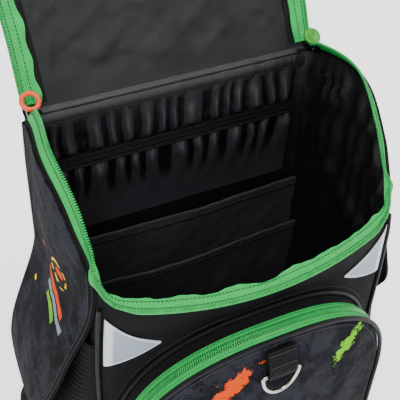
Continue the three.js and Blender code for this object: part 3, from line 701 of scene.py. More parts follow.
def zip_coil():
    finish = Finish("zip_coil", roughness=0.35, coat=0.1, specular=0.5)
    solid, _ = finish.place()
    cloud = finish.noise(solid, 0.006, 2.0)
    colour = finish.blend(cloud, srgb(6, 108, 42), srgb(34, 176, 80))
    return finish.paint(colour, cloud * 0.2 + 0.28, cloud, 0.0002)


def thread(name, dark, pale):
    finish = Finish(name, roughness=0.6)
    solid, _ = finish.place()
    twist = finish.noise(solid, 0.0009, 1.0)
    return finish.paint(finish.blend(twist, dark, pale), twist * 0.2 + 0.5, twist, 0.0002)


def piping_cloth():
    finish = Finish("piping_cloth", roughness=0.42, specular=0.16)
    _, (across, along) = finish.cloth()
    solid, _ = finish.place()
    twill = (across * 1.2 + along).wave(0.0013)
    cloud = finish.noise(solid, 0.015)
    colour = finish.blend(cloud, srgb(6, 6, 7), srgb(14, 14, 15))
    return finish.paint(colour, cloud * 0.2 + 0.38, twill * 0.5 + cloud, 0.0002)


def webbing_cloth():
    finish = Finish("webbing_cloth", roughness=0.7, specular=0.1)
    _, (across, along) = finish.cloth()
    solid, _ = finish.place()
    rib = along.wave(0.0021)
    edge = across.wave(0.0016)
    cloud = finish.noise(solid, 0.01)
    # Uneven tone from the cloud, with the rib crowns painted paler: painted highlight.
    colour = finish.blend(cloud * 0.7 + rib * 0.12 + 0.1, srgb(7, 7, 8), srgb(19, 19, 21))
    return finish.paint(colour, cloud * 0.15 + 0.6, rib + edge * 0.4, 0.0003)


def air_mesh():
    """Spacer mesh: a honeycomb of small dimples, painted darker inside as painted shade."""
    finish = Finish("air_mesh", roughness=0.85, specular=0.12)
    _, (across, along) = finish.cloth()
    solid, _ = finish.place()
    holes = across.wave(0.0042) * along.wave(0.0048)
    slant = (across + along).wave(0.0042) * 0.5
    cloud = finish.noise(solid, 0.03)
    dimple_shade = (holes + slant).step(0.25, 0.75)
    # The dimples are painted near black: painted shade in the recesses.
    colour = finish.blend(dimple_shade, srgb(22, 22, 25), srgb(7, 7, 8))
    return finish.paint(colour, cloud * 0.1 + 0.78, (holes + slant) * -1.0 + cloud, 0.0006)


def reflective_film():
    """Grey film of tiny glass beads with a paler heat-cut border."""
    finish = Finish("reflective_film", roughness=0.42, metallic=0.15, specular=0.6)
    _, (across, along) = finish.cloth()
    solid, _ = finish.place()
    border = finish.mark().step(2.6, 1.6)
    grain = finish.noise(solid, 0.0012, 2.0)
    cloud = finish.noise(solid, 0.03)
    field = finish.blend(cloud, srgb(112, 124, 138), srgb(150, 162, 174))
    colour = finish.blend(border, field, srgb(186, 194, 202))
    cells = (across + along * 0.58).wave(0.0024) * (across - along * 0.58).wave(0.0024)
    return finish.paint(colour, grain * 0.2 + cloud * 0.1 + 0.3, cells * 0.4 + grain * 0.3, 0.00012)


def plated_metal(name, dark, pale):
    finish = Finish(name, roughness=0.18, metallic=1.0)
    solid, _ = finish.place()
    wear = finish.noise(solid, 0.004, 3.0)
    colour = finish.blend(wear, dark, pale)
    return finish.paint(colour, wear * 0.22 + 0.1, wear, 0.00008)


def soft_plastic(name, dark, pale, roughness=0.38):
    finish = Finish(name, roughness=roughness, coat=0.15)
    solid, _ = finish.place()
    cloud = finish.noise(solid, 0.008, 2.0)
    grain = finish.noise(solid, 0.0008, 1.0)
    colour = finish.blend(cloud, dark, pale)
    return finish.paint(colour, cloud * 0.15 + roughness - 0.08, grain, 0.0001)


BLACK = black_cloth()
LINING = lining_cloth("lining_cloth", srgb(8, 8, 9), srgb(17, 17, 19), 0.5, 0.36)
# Darker copy of the lining for the lid, which faces the top light: painted shade.
SHADED_LID_LINING = lining_cloth("lid_lining_painted_shade", srgb(7, 8, 11), srgb(14, 16, 20), 0.26, 0.46)
SATIN = gathered_satin()
# Paler copy of the lining for the dividers: painted light deep inside the bag, where little light reaches.
LIGHTENED_DIVIDER_LINING = lining_cloth("divider_lining_painted_light", srgb(34, 33, 36), srgb(50, 49, 54), 0.5, 0.42)
HEM = hem_cloth()
PRINT = print_cloth("smudge_print")
PRINT_LEFT = print_cloth("smudge_print_left", (slant_art,))
PRINT_FACE = print_cloth(
    "smudge_print_face",
    (splat(0.070, 0.190, 0.019, 1.05, LIME, 0.0), splat(-0.040, 0.196, 0.022, 0.75, ORANGE, 0.01)),
)
RIB = rib_cloth()
TAPE = zip_tape()
COIL = zip_coil()
GREEN_THREAD = thread("green_thread", srgb(8, 66, 30), srgb(16, 92, 44))
BLACK_THREAD = thread("black_thread", srgb(22, 22, 25), srgb(40, 40, 44))
PIPING = piping_cloth()
WEBBING = webbing_cloth()
MESH = air_mesh()
FILM = reflective_film()
NICKEL = plated_metal("nickel_plate", srgb(146, 141, 132), srgb(196, 192, 184))
DARK_METAL = plated_metal("dark_metal", srgb(38, 38, 40), srgb(62, 61, 62))
ORANGE_PLASTIC = soft_plastic("orange_plastic", srgb(196, 48, 0), srgb(214, 70, 4))
LIME_PLASTIC = soft_plastic("lime_plastic", srgb(22, 108, 4), srgb(48, 142, 12))
BLACK_PLASTIC = soft_plastic("black_plastic", srgb(17, 17, 18), srgb(30, 30, 32), 0.45)


# Shape of the body, in millimetres

FRONT_STEPS = 64
SIDE_STEPS = 36
BACK_STEPS = 40
CORNER_STEPS = 8


def rim_height(x, depth):
    """Rim height: falls with a power of the depth, humps by a sine and dips at the front."""
    depth = np.clip(depth, 0, 1)
    level = mix(BODY_HEIGHT, FRONT_RIM, depth ** RIM_FALL)
    return level + RIM_HUMP * np.sin(np.pi * depth) - RIM_DIP * (1 - (x / HALF_WIDTH) ** 2) * depth


def front_at(x, z):
    """Front panel's outer face: a parabola across, whose bow grows near the rim."""
    bow = mix(PANEL_BOW, RIM_BOW, smooth((z - (FRONT_RIM - RIM_DIP - FLARE)) / FLARE))
    return -HALF_DEPTH - bow * np.maximum(0, 1 - (x / HALF_WIDTH) ** 2)


def settle(points):
    """The soft rim as worn: its sides belly out in the middle and draw in towards the front corners."""
    x, y, z = np.moveaxis(points, -1, 0)
    belly = BELLY * np.exp(-((y - 4) / 34) ** 2) - DRAW_IN * smooth((-y - 38) / 30)
    out = belly * smooth((z - 200) / 120) * smooth((np.abs(x) - 95) / 30)
    return np.stack([x + np.sign(x) * out, y, z], -1)


def corner_share(share):
    return smooth((share - 0.88) / 0.12)


def plan_ring(inset, radius):
    """Rounded rectangle in plan, from the front left corner round by the right, back and left."""
    w, d = HALF_WIDTH - inset, HALF_DEPTH - inset
    r = max(1.0, radius - inset)
    parts = []
    for x0, y0, x1, y1, count, cx, cy, start in (
        (-w + r, -d, w - r, -d, FRONT_STEPS, w - r, -d + r, -0.5),
        (w, -d + r, w, d - r, SIDE_STEPS, w - r, d - r, 0.0),
        (w - r, d, -w + r, d, BACK_STEPS, -w + r, d - r, 0.5),
        (-w, d - r, -w, -d + r, SIDE_STEPS, -w + r, -d + r, 1.0),
    ):
        t = np.arange(count) / count
        parts.append(np.stack([mix(x0, x1, t), mix(y0, y1, t)], 1))
        angle = np.pi * (start + np.arange(CORNER_STEPS) / CORNER_STEPS / 2)
        parts.append(np.stack([cx + r * np.cos(angle), cy + r * np.sin(angle)], 1))
    ring = np.concatenate(parts)
    return ring, (1 - ring[:, 1] / d) / 2


def wall_ring(share, inset, floor):
    """One level of the wall; share runs from 0 at the floor to 1 at the rim."""
    ring, depth = plan_ring(inset, mix(SEAM_RADIUS, RIM_RADIUS, corner_share(share)))
    x, y = ring.T
    z = mix(floor, rim_height(x, depth), share)
    return settle(np.stack([x, y + (front_at(x, z) + HALF_DEPTH) * depth, z], 1))


def plan_normals(ring):
    """Outward direction in plan at each point of a closed ring."""
    ahead, behind = np.roll(ring, -1, 0), np.roll(ring, 1, 0)
    turn = ahead - behind
    return unit(np.stack([turn[:, 1], -turn[:, 0], np.zeros(len(ring))], 1))


def wall_grid(shares, inset, floor_of):
    return np.stack([wall_ring(share, inset, floor_of(share)) for share in shares])


def sew_body():
    """Outer cloth and lining of the body, each a closed shell with a floor."""
    shares = np.concatenate([[0.02, 0.04], span(0.07, 0.86, 0.025), span(0.88, 1.0, 0.012)])
    outer = wall_grid(shares, 0, lambda s: BASE_RISE * (1 - s))
    x, y, z = np.moveaxis(outer, -1, 0)
    calm = smooth((1 - shares) / 0.08)[:, None] * smooth(shares / 0.1)[:, None]
    soft = ripple(x + y * 0.7, z, 55, 3) * 0.9 + ripple(x - y, z, 23, 4) * 0.25
    outer = outer + plan_normals(outer[20])[None] * (soft * calm * 0.8)[..., None]
    base = wall_ring(0, BASE_INSET, 0)
    mid = wall_grid(shares[::-1], 1.4, lambda s: 1.4)
    mid[-1, :, 2] = 1.4
    rings = np.concatenate([base[None], outer, mid])
    cloth = Piece().tube(rings).make("body_cloth", BLACK, "black_fabric", ("body_shell",))

    back = wall_grid(shares, 1.7, lambda s: 1.7)
    back[0, :, 2] = 1.7
    inner = wall_grid(shares[::-1], WALL, lambda s: WALL)
    x, y, z = np.moveaxis(inner, -1, 0)
    rise = shares[::-1][:, None]
    side_wall = smooth((np.abs(x) - 112) / 12)
    hanging = pleats(y + 7 * ripple(y, z, 90, 5), 17, 1.7) * smooth((rise - 0.5) / 0.3)
    crease = np.exp(-((z - 236 - 0.35 * (y + 20)) / 5) ** 2) * smooth((50 - np.abs(y + 8)) / 20)
    crumple = ripple(y * 1.4, z, 46, 8) * 1.6
    sunk = (hanging * 4.2 + crease * 3.5 + crumple * smooth(rise / 0.3) + 1.2) * side_wall
    front_wall = smooth((-y - 50) / 16) * (1 - side_wall)
    sunk = sunk + front_wall * (1.0 + ripple(x, z * 0.6, 60, 9) * 1.2)
    sunk = sunk * smooth((1 - rise) / 0.05)
    inner = inner - plan_normals(inner[20])[None] * sunk[..., None]
    inner[-1, :, 2] = WALL
    lining = Piece().tube(np.concatenate([back, inner]))
    lining = lining.make("body_lining", LINING, "lining", ("body_shell",), crease=60)


RIM_TAPE_SIDE = np.array([[-0.9, -0.5], [-4.4, 4.8], [-8.0, 8.0]])
RIM_TAPE_FRONT = np.array([[5.4, -2.2], [-0.6, 0.7], [-4.6, 2.6]])


def bind_rim(ring):
    """Black bound edge under the zip tape, from rear corner round the front to rear corner."""
    left = len(ring) - SIDE_STEPS - 2 * CORNER_STEPS
    right = FRONT_STEPS + SIDE_STEPS + 2 * CORNER_STEPS + 1
    order = np.concatenate([np.arange(left, len(ring)), np.arange(right)])
    path, out = resample(ring[order], RIM_STEP, plan_normals(ring)[order])
    drop = smooth(((HALF_DEPTH - path[:, 1]) / BODY_DEPTH - FOLD_START) / 0.14)
    path = path - unit(out) * BIND_INSET + np.array([0, 0, 1.0]) * mix(*BIND_RISE, drop)[:, None]
    Piece().tube(round_rings(path, BIND_RADIUS, (0, 0, 1))).make("rim_bound_edge", BLACK, "black_fabric")


def sew_rim_zip():
    """Half of the main zip round the rim: it stands up at the sides and folds out over the front."""
    ring = wall_ring(1, 0, 0)
    out = plan_normals(ring)
    right_end = FRONT_STEPS + CORNER_STEPS + SIDE_STEPS + 1 + CORNER_STEPS // 2
    left_start = len(ring) - SIDE_STEPS - CORNER_STEPS - CORNER_STEPS // 2
    order = np.concatenate([np.arange(left_start, len(ring)), np.arange(right_end)])
    path, out = resample(ring[order], RIM_STEP, out[order])
    out = unit(out)
    far = lengths(path)
    depth = (HALF_DEPTH - path[:, 1]) / BODY_DEPTH
    fold = smooth((depth - FOLD_START) / 0.14)
    corner = np.exp(-((np.abs(path[:, 0]) - 122) / 17) ** 4) * np.exp(-((depth - 0.97) / 0.15) ** 4)
    narrow = 1 - 0.42 * corner
    knuckle = np.exp(-((depth - 0.93) / 0.022) ** 2)
    wave = np.sin(far / RUFFLE_LENGTH * 2 * np.pi + 2.1 * np.sin(far / 31)) * (
        0.55 + 0.45 * np.sin(far / 23 + 1)
    )
    wave = 0.75 * wave + 0.4 * np.sin(far / 8.7 + 2 * np.sin(far / 37)) + 0.12 * np.sin(far / 1.9)

    def at(w, lift):
        """A point of the tape at share w across it, from its sewn or coil edge to its inner edge."""
        near = curve(RIM_TAPE_SIDE, w)
        front = curve(RIM_TAPE_FRONT, w)
        flat = near[None] * (1 - fold)[:, None] + front[None] * fold[:, None]
        loose = smooth((w - 0.5) / 0.5) * fold
        n = (flat[:, 0] + 2) * narrow - 2 - loose * (wave * 1.5 + 0.3) + knuckle * 3.0 * (1 - w)
        up = flat[:, 1] * narrow + CLEAR + loose * wave * RUFFLE + lift + knuckle * 2.6 * np.sin(
            np.pi * w
        )
        return path + out * n[:, None] + np.array([0, 0, 1.0]) * up[:, None]

    columns = np.linspace(0, 1, 12)
    over = np.stack([at(w, 1.25 + 0.35 * math.cos(math.pi * (w - 0.5)) ** 2) for w in columns], 1)
    under = np.stack([at(w, 0.0) for w in columns], 1)
    Piece().plate(over, under).make("rim_zip_tape", TAPE, "zipper_green", ("rim_zipper",))

    def line(low, high, lift):
        """A path along the tape that runs at share low at the sides and high over the front."""
        place = mix(low, high, fold)
        steps = np.linspace(0, 1, 41)
        sheet = np.stack([at(w, lift) for w in steps], 1)
        spot = place * 40
        i = np.minimum(spot.astype(int), 39)
        share = (spot - i)[:, None]
        rows = np.arange(len(path))
        return sheet[rows, i] * (1 - share) + sheet[rows, i + 1] * share

    bind_rim(ring)
    coil = line(0.95, 0.08, 1.9)
    across = unit(line(1.0, 0.15, 1.9) - line(0.9, 0.0, 1.9))
    Piece().teeth(coil, across, length=2.7).make("rim_zip_coil", COIL, "zipper_green", ("rim_zipper",))
    up = unit(np.cross(np.gradient(coil, axis=0), across))
    up = up * np.sign(up[:, 2:])
    over_front = np.flatnonzero(fold > 0.7)
    inner_line = line(0.3, 0.66, 1.75)[over_front]
    seams = Piece().seam(line(0.6, 0.27, 1.7), up, pitch=2.7, length=2.4, width=0.7)
    seams.seam(inner_line, up[over_front], width=0.8)
    seams.make("rim_zip_stitches", GREEN_THREAD, "zipper_green")


def lid_point(x, along, lift):
    """A point of the lid: its lean changes evenly from hinge to free edge, and its sides dish up."""
    steps = 12
    x, along, lift = np.broadcast_arrays(np.asarray(x, float), along, lift)

    def lean(s):
        return np.radians(mix(LID_LEAN[0], LID_LEAN[1], s / LID_LENGTH))

    y = HINGE_Y + sum(np.cos(lean(along * (i + 0.5) / steps)) for i in range(steps)) * along / steps
    z = HINGE_Z + sum(np.sin(lean(along * (i + 0.5) / steps)) for i in range(steps)) * along / steps
    end = lean(along)
    stand = lift + LID_DISH * (np.abs(x) / LID_HALF) ** 4 * smooth(along / 60)
    return np.stack([x, y - np.sin(end) * stand, z + np.cos(end) * stand], -1)


def lid_reach(x):
    """Length of the lid at a place across it, with its rounded free corners."""
    past = np.clip((np.abs(x) - (LID_HALF - LID_CORNER)) / LID_CORNER, 0, 1)
    corner = LID_CORNER * (1 - np.sqrt(1 - past ** 2))
    return LID_LENGTH + LID_BOW * (1 - (x / LID_HALF) ** 2) - corner


def lid_edge():
    """Outline of the lid in (x, along): up the left side, round the free edge and down the right."""
    turn = np.linspace(0, np.pi / 2, 16)
    straight = LID_HALF - LID_CORNER
    corner = straight + LID_CORNER * np.sin(turn)
    x = np.concatenate([-corner[::-1], span(-straight, straight, 4)[1:-1], corner])
    top = np.stack([x, lid_reach(x)], 1)
    side = span(6, top[0, 1], 4)[:-1]
    left = np.stack([np.full(len(side), -LID_HALF), side], 1)
    right = left[::-1] * (-1, 1)
    return resample(np.concatenate([left, top, right]), 1.7)


def sew_lid():
    """Lid: broad slanting wrinkles in its lining, a printed cover behind, and its half of the zip."""
    across = np.concatenate([[-1], np.sin(span(-0.49, 0.49, 0.012) * np.pi), [1]])
    x = across[None] * LID_HALF * np.ones((90, 1))
    along = np.linspace(0, 1, 90)[:, None] * lid_reach(x)
    calm = smooth((LID_HALF - np.abs(x)) / 24) * smooth((lid_reach(x) - along) / 24) * smooth(along / 30)
    slant = x * 0.55 + along * 0.83
    broad = np.sin(slant / 19 + 1.4 * np.sin((x * 0.83 - along * 0.55) / 48))
    wrinkle = broad * 0.9 + ripple(x, along, 62, 11) * 1.5 + ripple(x, along, 24, 12) * 0.35
    front = lid_point(x, along, np.maximum(-0.7, 0.2 + calm * (wrinkle * 2.0 + 1.6)))
    lining = Piece().plate(front, lid_point(x, along, -1.3))
    lining = lining.make("lid_lining", SHADED_LID_LINING, "lining", ("lid",), crease=60)
    cover = Piece().plate(lid_point(x, along, -1.5), lid_point(x, along, -LID_THICKNESS), mark=100)
    cover = cover.make("lid_cover", PRINT, "print_fabric", ("lid",))

    edge = lid_edge()
    far = lengths(edge)
    along_edge = unit(np.gradient(edge, axis=0))
    out = np.stack([-along_edge[:, 1], along_edge[:, 0]], 1)
    wave = 0.5 + 0.5 * np.sin(far / 29 * 2 * np.pi + 1.2 * np.sin(far / 33)) + 0.2 * np.sin(far / 6.7)

    def at(reach, lift):
        place = edge + out * np.asarray(reach)[..., None]
        return lid_point(place[:, 0], place[:, 1], lift)

    def tape(w, lift):
        loose = smooth((0.45 - w) / 0.45)
        reach = mix(-TAPE_INNER, TAPE_OUTER, w) - loose * (wave - 0.5) * 1.8
        return at(reach, CLEAR + 0.6 + loose * wave * 2 * RUFFLE + lift)

    columns = np.linspace(0, 1, 12)
    over = np.stack([tape(w, 1.2) for w in columns], 1)
    under = np.stack([tape(w, 0.0) for w in columns], 1)
    Piece().plate(over, under).make("lid_zip_tape", TAPE, "zipper_green", ("lid_zipper",))
    coil = tape(0.93, 2.0)
    side = unit(tape(1.0, 2.0) - tape(0.85, 2.0))
    Piece().teeth(coil, side, length=2.8).make("lid_zip_coil", COIL, "zipper_green", ("lid_zipper",))
    up = unit(tape(0.5, 2.0) - tape(0.5, 1.0))
    seams = Piece().seam(tape(0.36, 1.25), up, width=0.8).seam(tape(0.74, 1.2), up, 2.7, 2.4, 0.7)
    seams.make("lid_zip_stitches", GREEN_THREAD, "zipper_green")
    bind = at(-9.4, 1.6)
    Piece().tube(bar_rings(bind, side, 3.6, 1.6, 0.7)).make("lid_binding", PIPING, "piping", ("lid",))


def sew_back_wall():
    """Inside of the back wall: hinge band, lining gathered on an elastic, and the elastic."""
    x = span(-120, 120, 1.1)
    profile = np.array(
        [(69.2, 331.5), (68.7, 335.5), (68.9, 339.5), (70.6, 342.8), (73.2, 345.6), (75.4, 347.4)]
    )
    line = curve(profile, np.linspace(0, 1, 30))
    depth, height = (np.repeat(line[:, k:k + 1], len(x), 1) for k in (0, 1))
    grid = np.stack([np.broadcast_to(x, (30, len(x))), depth, height], -1)
    pucker = ripple(x, 0, 26, 21)[None] * 0.3 + 0.25 * pleats(x, 7, 2.0)[None]
    front = grid - np.array([0, 0.75, 0.2]) - np.array([0, 1.0, 0]) * (pucker * np.ones((30, 1)))[
        ..., None
    ]
    strip = Piece().plate(front, grid).make("hinge_strip", LINING, "lining", ("hinge_band",))
    under = np.concatenate(
        [[[72.4, 338.0], [74.2, 342.5]], lid_point(0.0, np.array([0.0, 4, 9]), -4.0)[:, 1:]]
    )
    fold = curve(under, np.linspace(0, 1, 12))
    ends = np.array([-127.0, -60, 0, 60, 127])
    sheet = np.stack(
        [np.broadcast_to(ends, (12, 5)), *(np.repeat(fold[:, k:k + 1], 5, 1) for k in (0, 1))], -1
    )
    Piece().plate(sheet - (0, 0.5, 0), sheet + (0, 0.5, 0)).make("hinge_backing", BLACK, "black_fabric")

    x = span(-112, 112, 1.1)
    seams = Piece()
    for row in (1, 5, 27):
        seams.seam(front[row], (0, -1, 0.3), pitch=2.7, length=1.9, width=0.45)

    z = np.concatenate([span(215, 285, 2.4), span(286, 299, 2.2), span(300.5, 334, 1.6)])
    level = np.broadcast_to(z[:, None], (len(z), len(x)))
    wide = np.broadcast_to(x, level.shape)
    above = smooth((level - 296) / 9) * mix(1.0, 0.45, smooth((level - 304) / 24))
    below = smooth((288 - level) / 16) * mix(1.0, 0.0, smooth((276 - level) / 46))
    wander = 2.0 * ripple(wide, level, 70, 24)
    large = pleats(wide + wander, 15, 0.9) * above + pleats(wide + wander, 18, 4.1) * below
    fine = pleats(wide, 5.2, 2.2) * (
        np.exp(-((level - 302) / 6) ** 2) + np.exp(-((level - 283) / 6) ** 2)
    )
    belly = 0.4 * ripple(wide, level, 60, 25) * smooth((level - 220) / 20)
    y = 69.3 - large * 5.5 - fine * 1.1 - belly
    reach = np.maximum(
        smooth((level - 295) / 3), smooth((289 - level) / 3) * (1 - smooth((272 - level) / 44))
    )
    crest = np.where(level > 292, pleats(wide + wander, 15, 0.9), pleats(wide + wander, 18, 4.1))
    # Mark of painted shade: high in the hollows between the folds.
    valley_shade = (1 - smooth(crest / 0.45)) * reach
    front = np.stack([wide, y, level], -1)
    back = np.stack([wide, np.full(wide.shape, BACK_LINING_Y), level], -1)
    lining = Piece().plate(front, back, mark=valley_shade)
    gathers = lining.make("gathered_lining", SATIN, "lining", ("back_lining",), crease=70)

    band = span(285.5, 299.5, 1.0)
    level = np.broadcast_to(band[:, None], (len(band), len(x)))
    wide = np.broadcast_to(x, level.shape)
    cords = 0.35 * np.cos((level - 285.5) / 14 * 2 * np.pi * 3)
    pinch = 0.45 * pleats(wide, 4.4, 3.1) * (0.4 + 0.6 * np.abs(level - 292.5) / 7)
    front = np.stack([wide, 66.6 - cords - pinch, level + 0.5 * ripple(wide, 0, 40, 27)], -1)
    back = np.stack([wide, np.full(wide.shape, 67.9), level], -1)
    strip = Piece().plate(front, back).make("elastic_strip", HEM, "lining", ("elastic_band",))
    for row in (2, 7, 12):
        seams.seam(front[row], (0, -1, 0), pitch=2.3, length=1.6, width=0.45)
    seams.make("back_wall_stitches", BLACK_THREAD, "lining")


def sew_divider(name, node, mouth, gap_foot, gap_mouth, seed):
    """Flat pocket on the back wall: it stands further off towards its hemmed mouth."""
    radius = SEAM_RADIUS - WALL
    foot = WALL + CLEAR
    z = np.concatenate([span(foot, mouth - 9.6, 3), [mouth - 9.2], span(mouth - 8.8, mouth, 1.4)])
    u = np.linspace(0, 1, 140)
    rise = ((z - foot) / (mouth - foot))[:, None]
    hem = smooth((z - mouth + 9.6) / 0.8)[:, None] * 0.8
    belly = 1 - 0.25 * np.cos(2 * np.pi * u)[None]
    gap = mix(gap_foot, gap_mouth, rise ** 1.5 * belly)
    near = np.maximum(0, radius - gap + hem)
    reach = HALF_WIDTH - WALL - radius + np.sqrt(radius ** 2 - near ** 2) - 2 * CLEAR
    x = mix(-reach, reach, u[None])
    level = np.broadcast_to(z[:, None], x.shape)
    calm = smooth((reach - np.abs(x)) / 20) * smooth(rise / 0.1)
    slack = (ripple(x, level * 0.8, 70, seed) * 1.0 + ripple(x, level, 26, seed + 1) * 0.3) * calm
    y = HALF_DEPTH - WALL - gap
    front = np.stack([x, y - 1.4 - hem - slack, level], -1)
    back = np.stack([x, y - slack * 0.8 + hem * 0.3, level], -1)
    body = Piece().plate(front, back)
    cloth = body.make(name, LIGHTENED_DIVIDER_LINING, "lining", (node,), crease=60)
    seams = Piece()
    for height in (mouth - 1.8, mouth - 7.6):
        row = int(np.argmin(np.abs(z - height)))
        seams.seam(front[row], (0, -1, 0.2), pitch=2.9, length=2.0, width=0.5)
    tack = front[-9:, 52] if seed == 41 else front[-9:, 104]
    seams.seam(tack, (0, -1, 0), pitch=1.1, length=0.9, width=1.2)
    seams.make(f"{name}_stitches", BLACK_THREAD, "lining")


def side_at(y, z):
    """Side wall's outer face, rounded off into the corners."""
    share = corner_share(z / rim_height(HALF_WIDTH, (HALF_DEPTH - y) / BODY_DEPTH))
    radius = mix(SEAM_RADIUS, RIM_RADIUS, share)
    past = np.clip(np.abs(y) - (HALF_DEPTH - radius), 0, radius)
    return HALF_WIDTH - radius + np.sqrt(radius ** 2 - past ** 2)


def flap_bulge(y, z):
    """How far a side flap stands off the wall: a power of a sine down from the line where it leaves."""
    leave = mix(FLAP_LEAVE[0], FLAP_LEAVE[1], (y + HALF_DEPTH) / BODY_DEPTH)
    fall = np.clip((leave - z) / (leave - FLAP_TIP), 0, 1)
    rear = 1 - 0.14 * smooth(y / HALF_DEPTH)
    return FLAP_REACH * rear * np.sin(np.pi / 2 * (fall / 0.8)) ** 1.5


# Edges of a side flap: y as shares of half the depth and z as shares of the height, front then rear
FLAP_EDGES = np.array([
    (-0.9, 0.835, 0.88, 1.0),
    (-0.93, 0.785, 0.89, 0.9),
    (-0.9, 0.71, 0.89, 0.79),
    (-0.83, 0.64, 0.89, 0.68),
    (-0.79, 0.58, 0.92, 0.6),
    (-0.75, 0.51, 0.98, 0.5),
    (-0.68, 0.455, 0.96, 0.41),
    (-0.55, 0.4, 0.9, 0.34),
    (-0.42, 0.35, 0.78, 0.29),
    (-0.28, 0.295, 0.6, 0.255),
    (-0.14, 0.24, 0.36, 0.225),
    (-0.03, 0.2, 0.08, 0.2),
])


def flap_point(side, u, row, lift):
    """A point of a side flap; u runs from its front edge to its rear edge and row down its table."""
    edges = curve(FLAP_EDGES, np.asarray(row) / (len(FLAP_EDGES) - 1))
    y = mix(edges[..., 0], edges[..., 2], u) * HALF_DEPTH
    rise = np.maximum(0, RIM_HUMP * (1 - np.asarray(row) / 5)) * np.sin(np.pi * u)
    z = mix(edges[..., 1], edges[..., 3], u) * BODY_HEIGHT + rise
    rim = rim_height(HALF_WIDTH, (HALF_DEPTH - y) / BODY_DEPTH) - 1
    z = mix(rim, z, np.minimum(1, row))
    z = np.minimum(z, rim)
    stand = side_at(y, z) + 2 * CLEAR + flap_bulge(y, z) + lift
    return settle(np.stack([side * stand, y, z], -1))


def sew_side_flap(side, name, node, finish):
    """Side flap: printed cloth, a bound edge, two rows of stitches and creases from its front dart."""
    row = np.linspace(0, len(FLAP_EDGES) - 1, 100)[:, None] * np.ones((1, 64))
    u = np.linspace(0, 1, 64)[None] * np.ones((100, 1))
    plain = flap_point(side, u, row, 0.0)
    rim = np.concatenate([plain[:, 0], plain[-1], plain[::-1, -1]])
    reach = np.sqrt(((plain[:, :, None] - rim[None, None]) ** 2).sum(-1)).min(2)
    _, y, z = np.moveaxis(plain, -1, 0)
    dart_y, dart_z = y[28, 0], z[28, 0]
    far = np.hypot(y - dart_y, z - dart_z)
    angle = np.arctan2(z - dart_z, y - dart_y)
    dart = np.sin(angle * 9 + 0.6) * np.exp(-far / 26) * smooth(far / 6) * 1.7
    soft = ripple(y, z, 52, 31) * 0.8 + ripple(y, z, 21, 32) * 0.25
    inside = smooth(reach / 14) * smooth(row / 1.2)
    bound = smooth((8 - reach) / 1.2) * 0.45
    lift = (soft + dart) * inside + 0.4 * inside
    front = flap_point(side, u, row, FLAP_CLOTH - 0.2 + lift + bound)
    back = flap_point(side, u, row, lift - bound * 0.5)
    cloth = Piece().plate(front, back, mark=reach)
    piece = cloth.make(name, finish, "print_fabric", (node,), crease=60)
    seams = Piece()
    for inset in (2.0, 6.0):
        rows = np.linspace(0.15, 10.75 - inset * 0.12, 160)
        edges = curve(FLAP_EDGES, rows / 11)
        width = np.abs(edges[:, 2] - edges[:, 0]) * HALF_DEPTH
        ahead = flap_point(side, inset / width, rows, FLAP_CLOTH + 0.45)
        behind = flap_point(side, 1 - inset / width, rows, FLAP_CLOTH + 0.45)
        loop = np.concatenate([ahead, behind[::-1]])
        seams.seam(loop, (side, 0, 0.15), pitch=3.2)
    seams.make(f"{name}_stitches", BLACK_THREAD, "print_fabric")


POCKET_PROFILE = np.array([
    [0, 0], [0.04, 0.5], [0.1, 0.9], [0.18, 1], [0.24, 0.86], [0.3, 0.72],
    [0.42, 0.62], [0.55, 0.46], [0.72, 0.26], [0.86, 0.09], [1, 0],
])


def knit_side_pocket(side, name, node):
    """Side pocket of ribbed stretch cloth: fine ribs that follow its slanting mouth."""
    v = span(0, 1, 1 / (POCKET_MOUTH[0] - POCKET_FLOOR))[:, None]
    u = np.concatenate([[0, 0.01, 0.03], span(0.05, 0.95, 0.02), [0.97, 0.99, 1]])[None]
    y = mix(-68.5, 68.5, u) * np.ones_like(v)
    z = mix(POCKET_FLOOR, mix(POCKET_MOUTH[0], POCKET_MOUTH[1], u), v)
    full = 1 - np.abs(2 * u - 1) ** 8
    fine = curve(POCKET_PROFILE[:, 1:], np.interp(v[:, 0], POCKET_PROFILE[:, 0], np.linspace(0, 1, 11)))
    free = mix(4.8, POCKET_REACH, np.maximum(0, fine))
    under = flap_bulge(y, z) - FLAP_CLOTH - 1.2 - 3 * CLEAR
    swell = mix(free, np.minimum(free, under), smooth((z - 56) / 6))
    rib = 1.1 * (0.5 + 0.5 * np.cos(2 * np.pi * v * (POCKET_MOUTH[0] - POCKET_FLOOR) / RIB_PITCH))
    rib = rib * smooth((0.965 - v) / 0.01)
    stand = side_at(y, z) + 2 * CLEAR + full * (swell + rib)
    front = settle(np.stack([side * (stand + 1.4), y, z], -1))
    back = settle(np.stack([side * stand, y, z], -1))
    piece = Piece().plate(front, back).make(name, RIB, "rib_fabric", (node,), crease=80)
    hem = front[-6]
    seams = Piece().seam(hem, (side, 0, 0), pitch=3.4)
    seams.make(f"{name}_stitches", BLACK_THREAD, "rib_fabric")


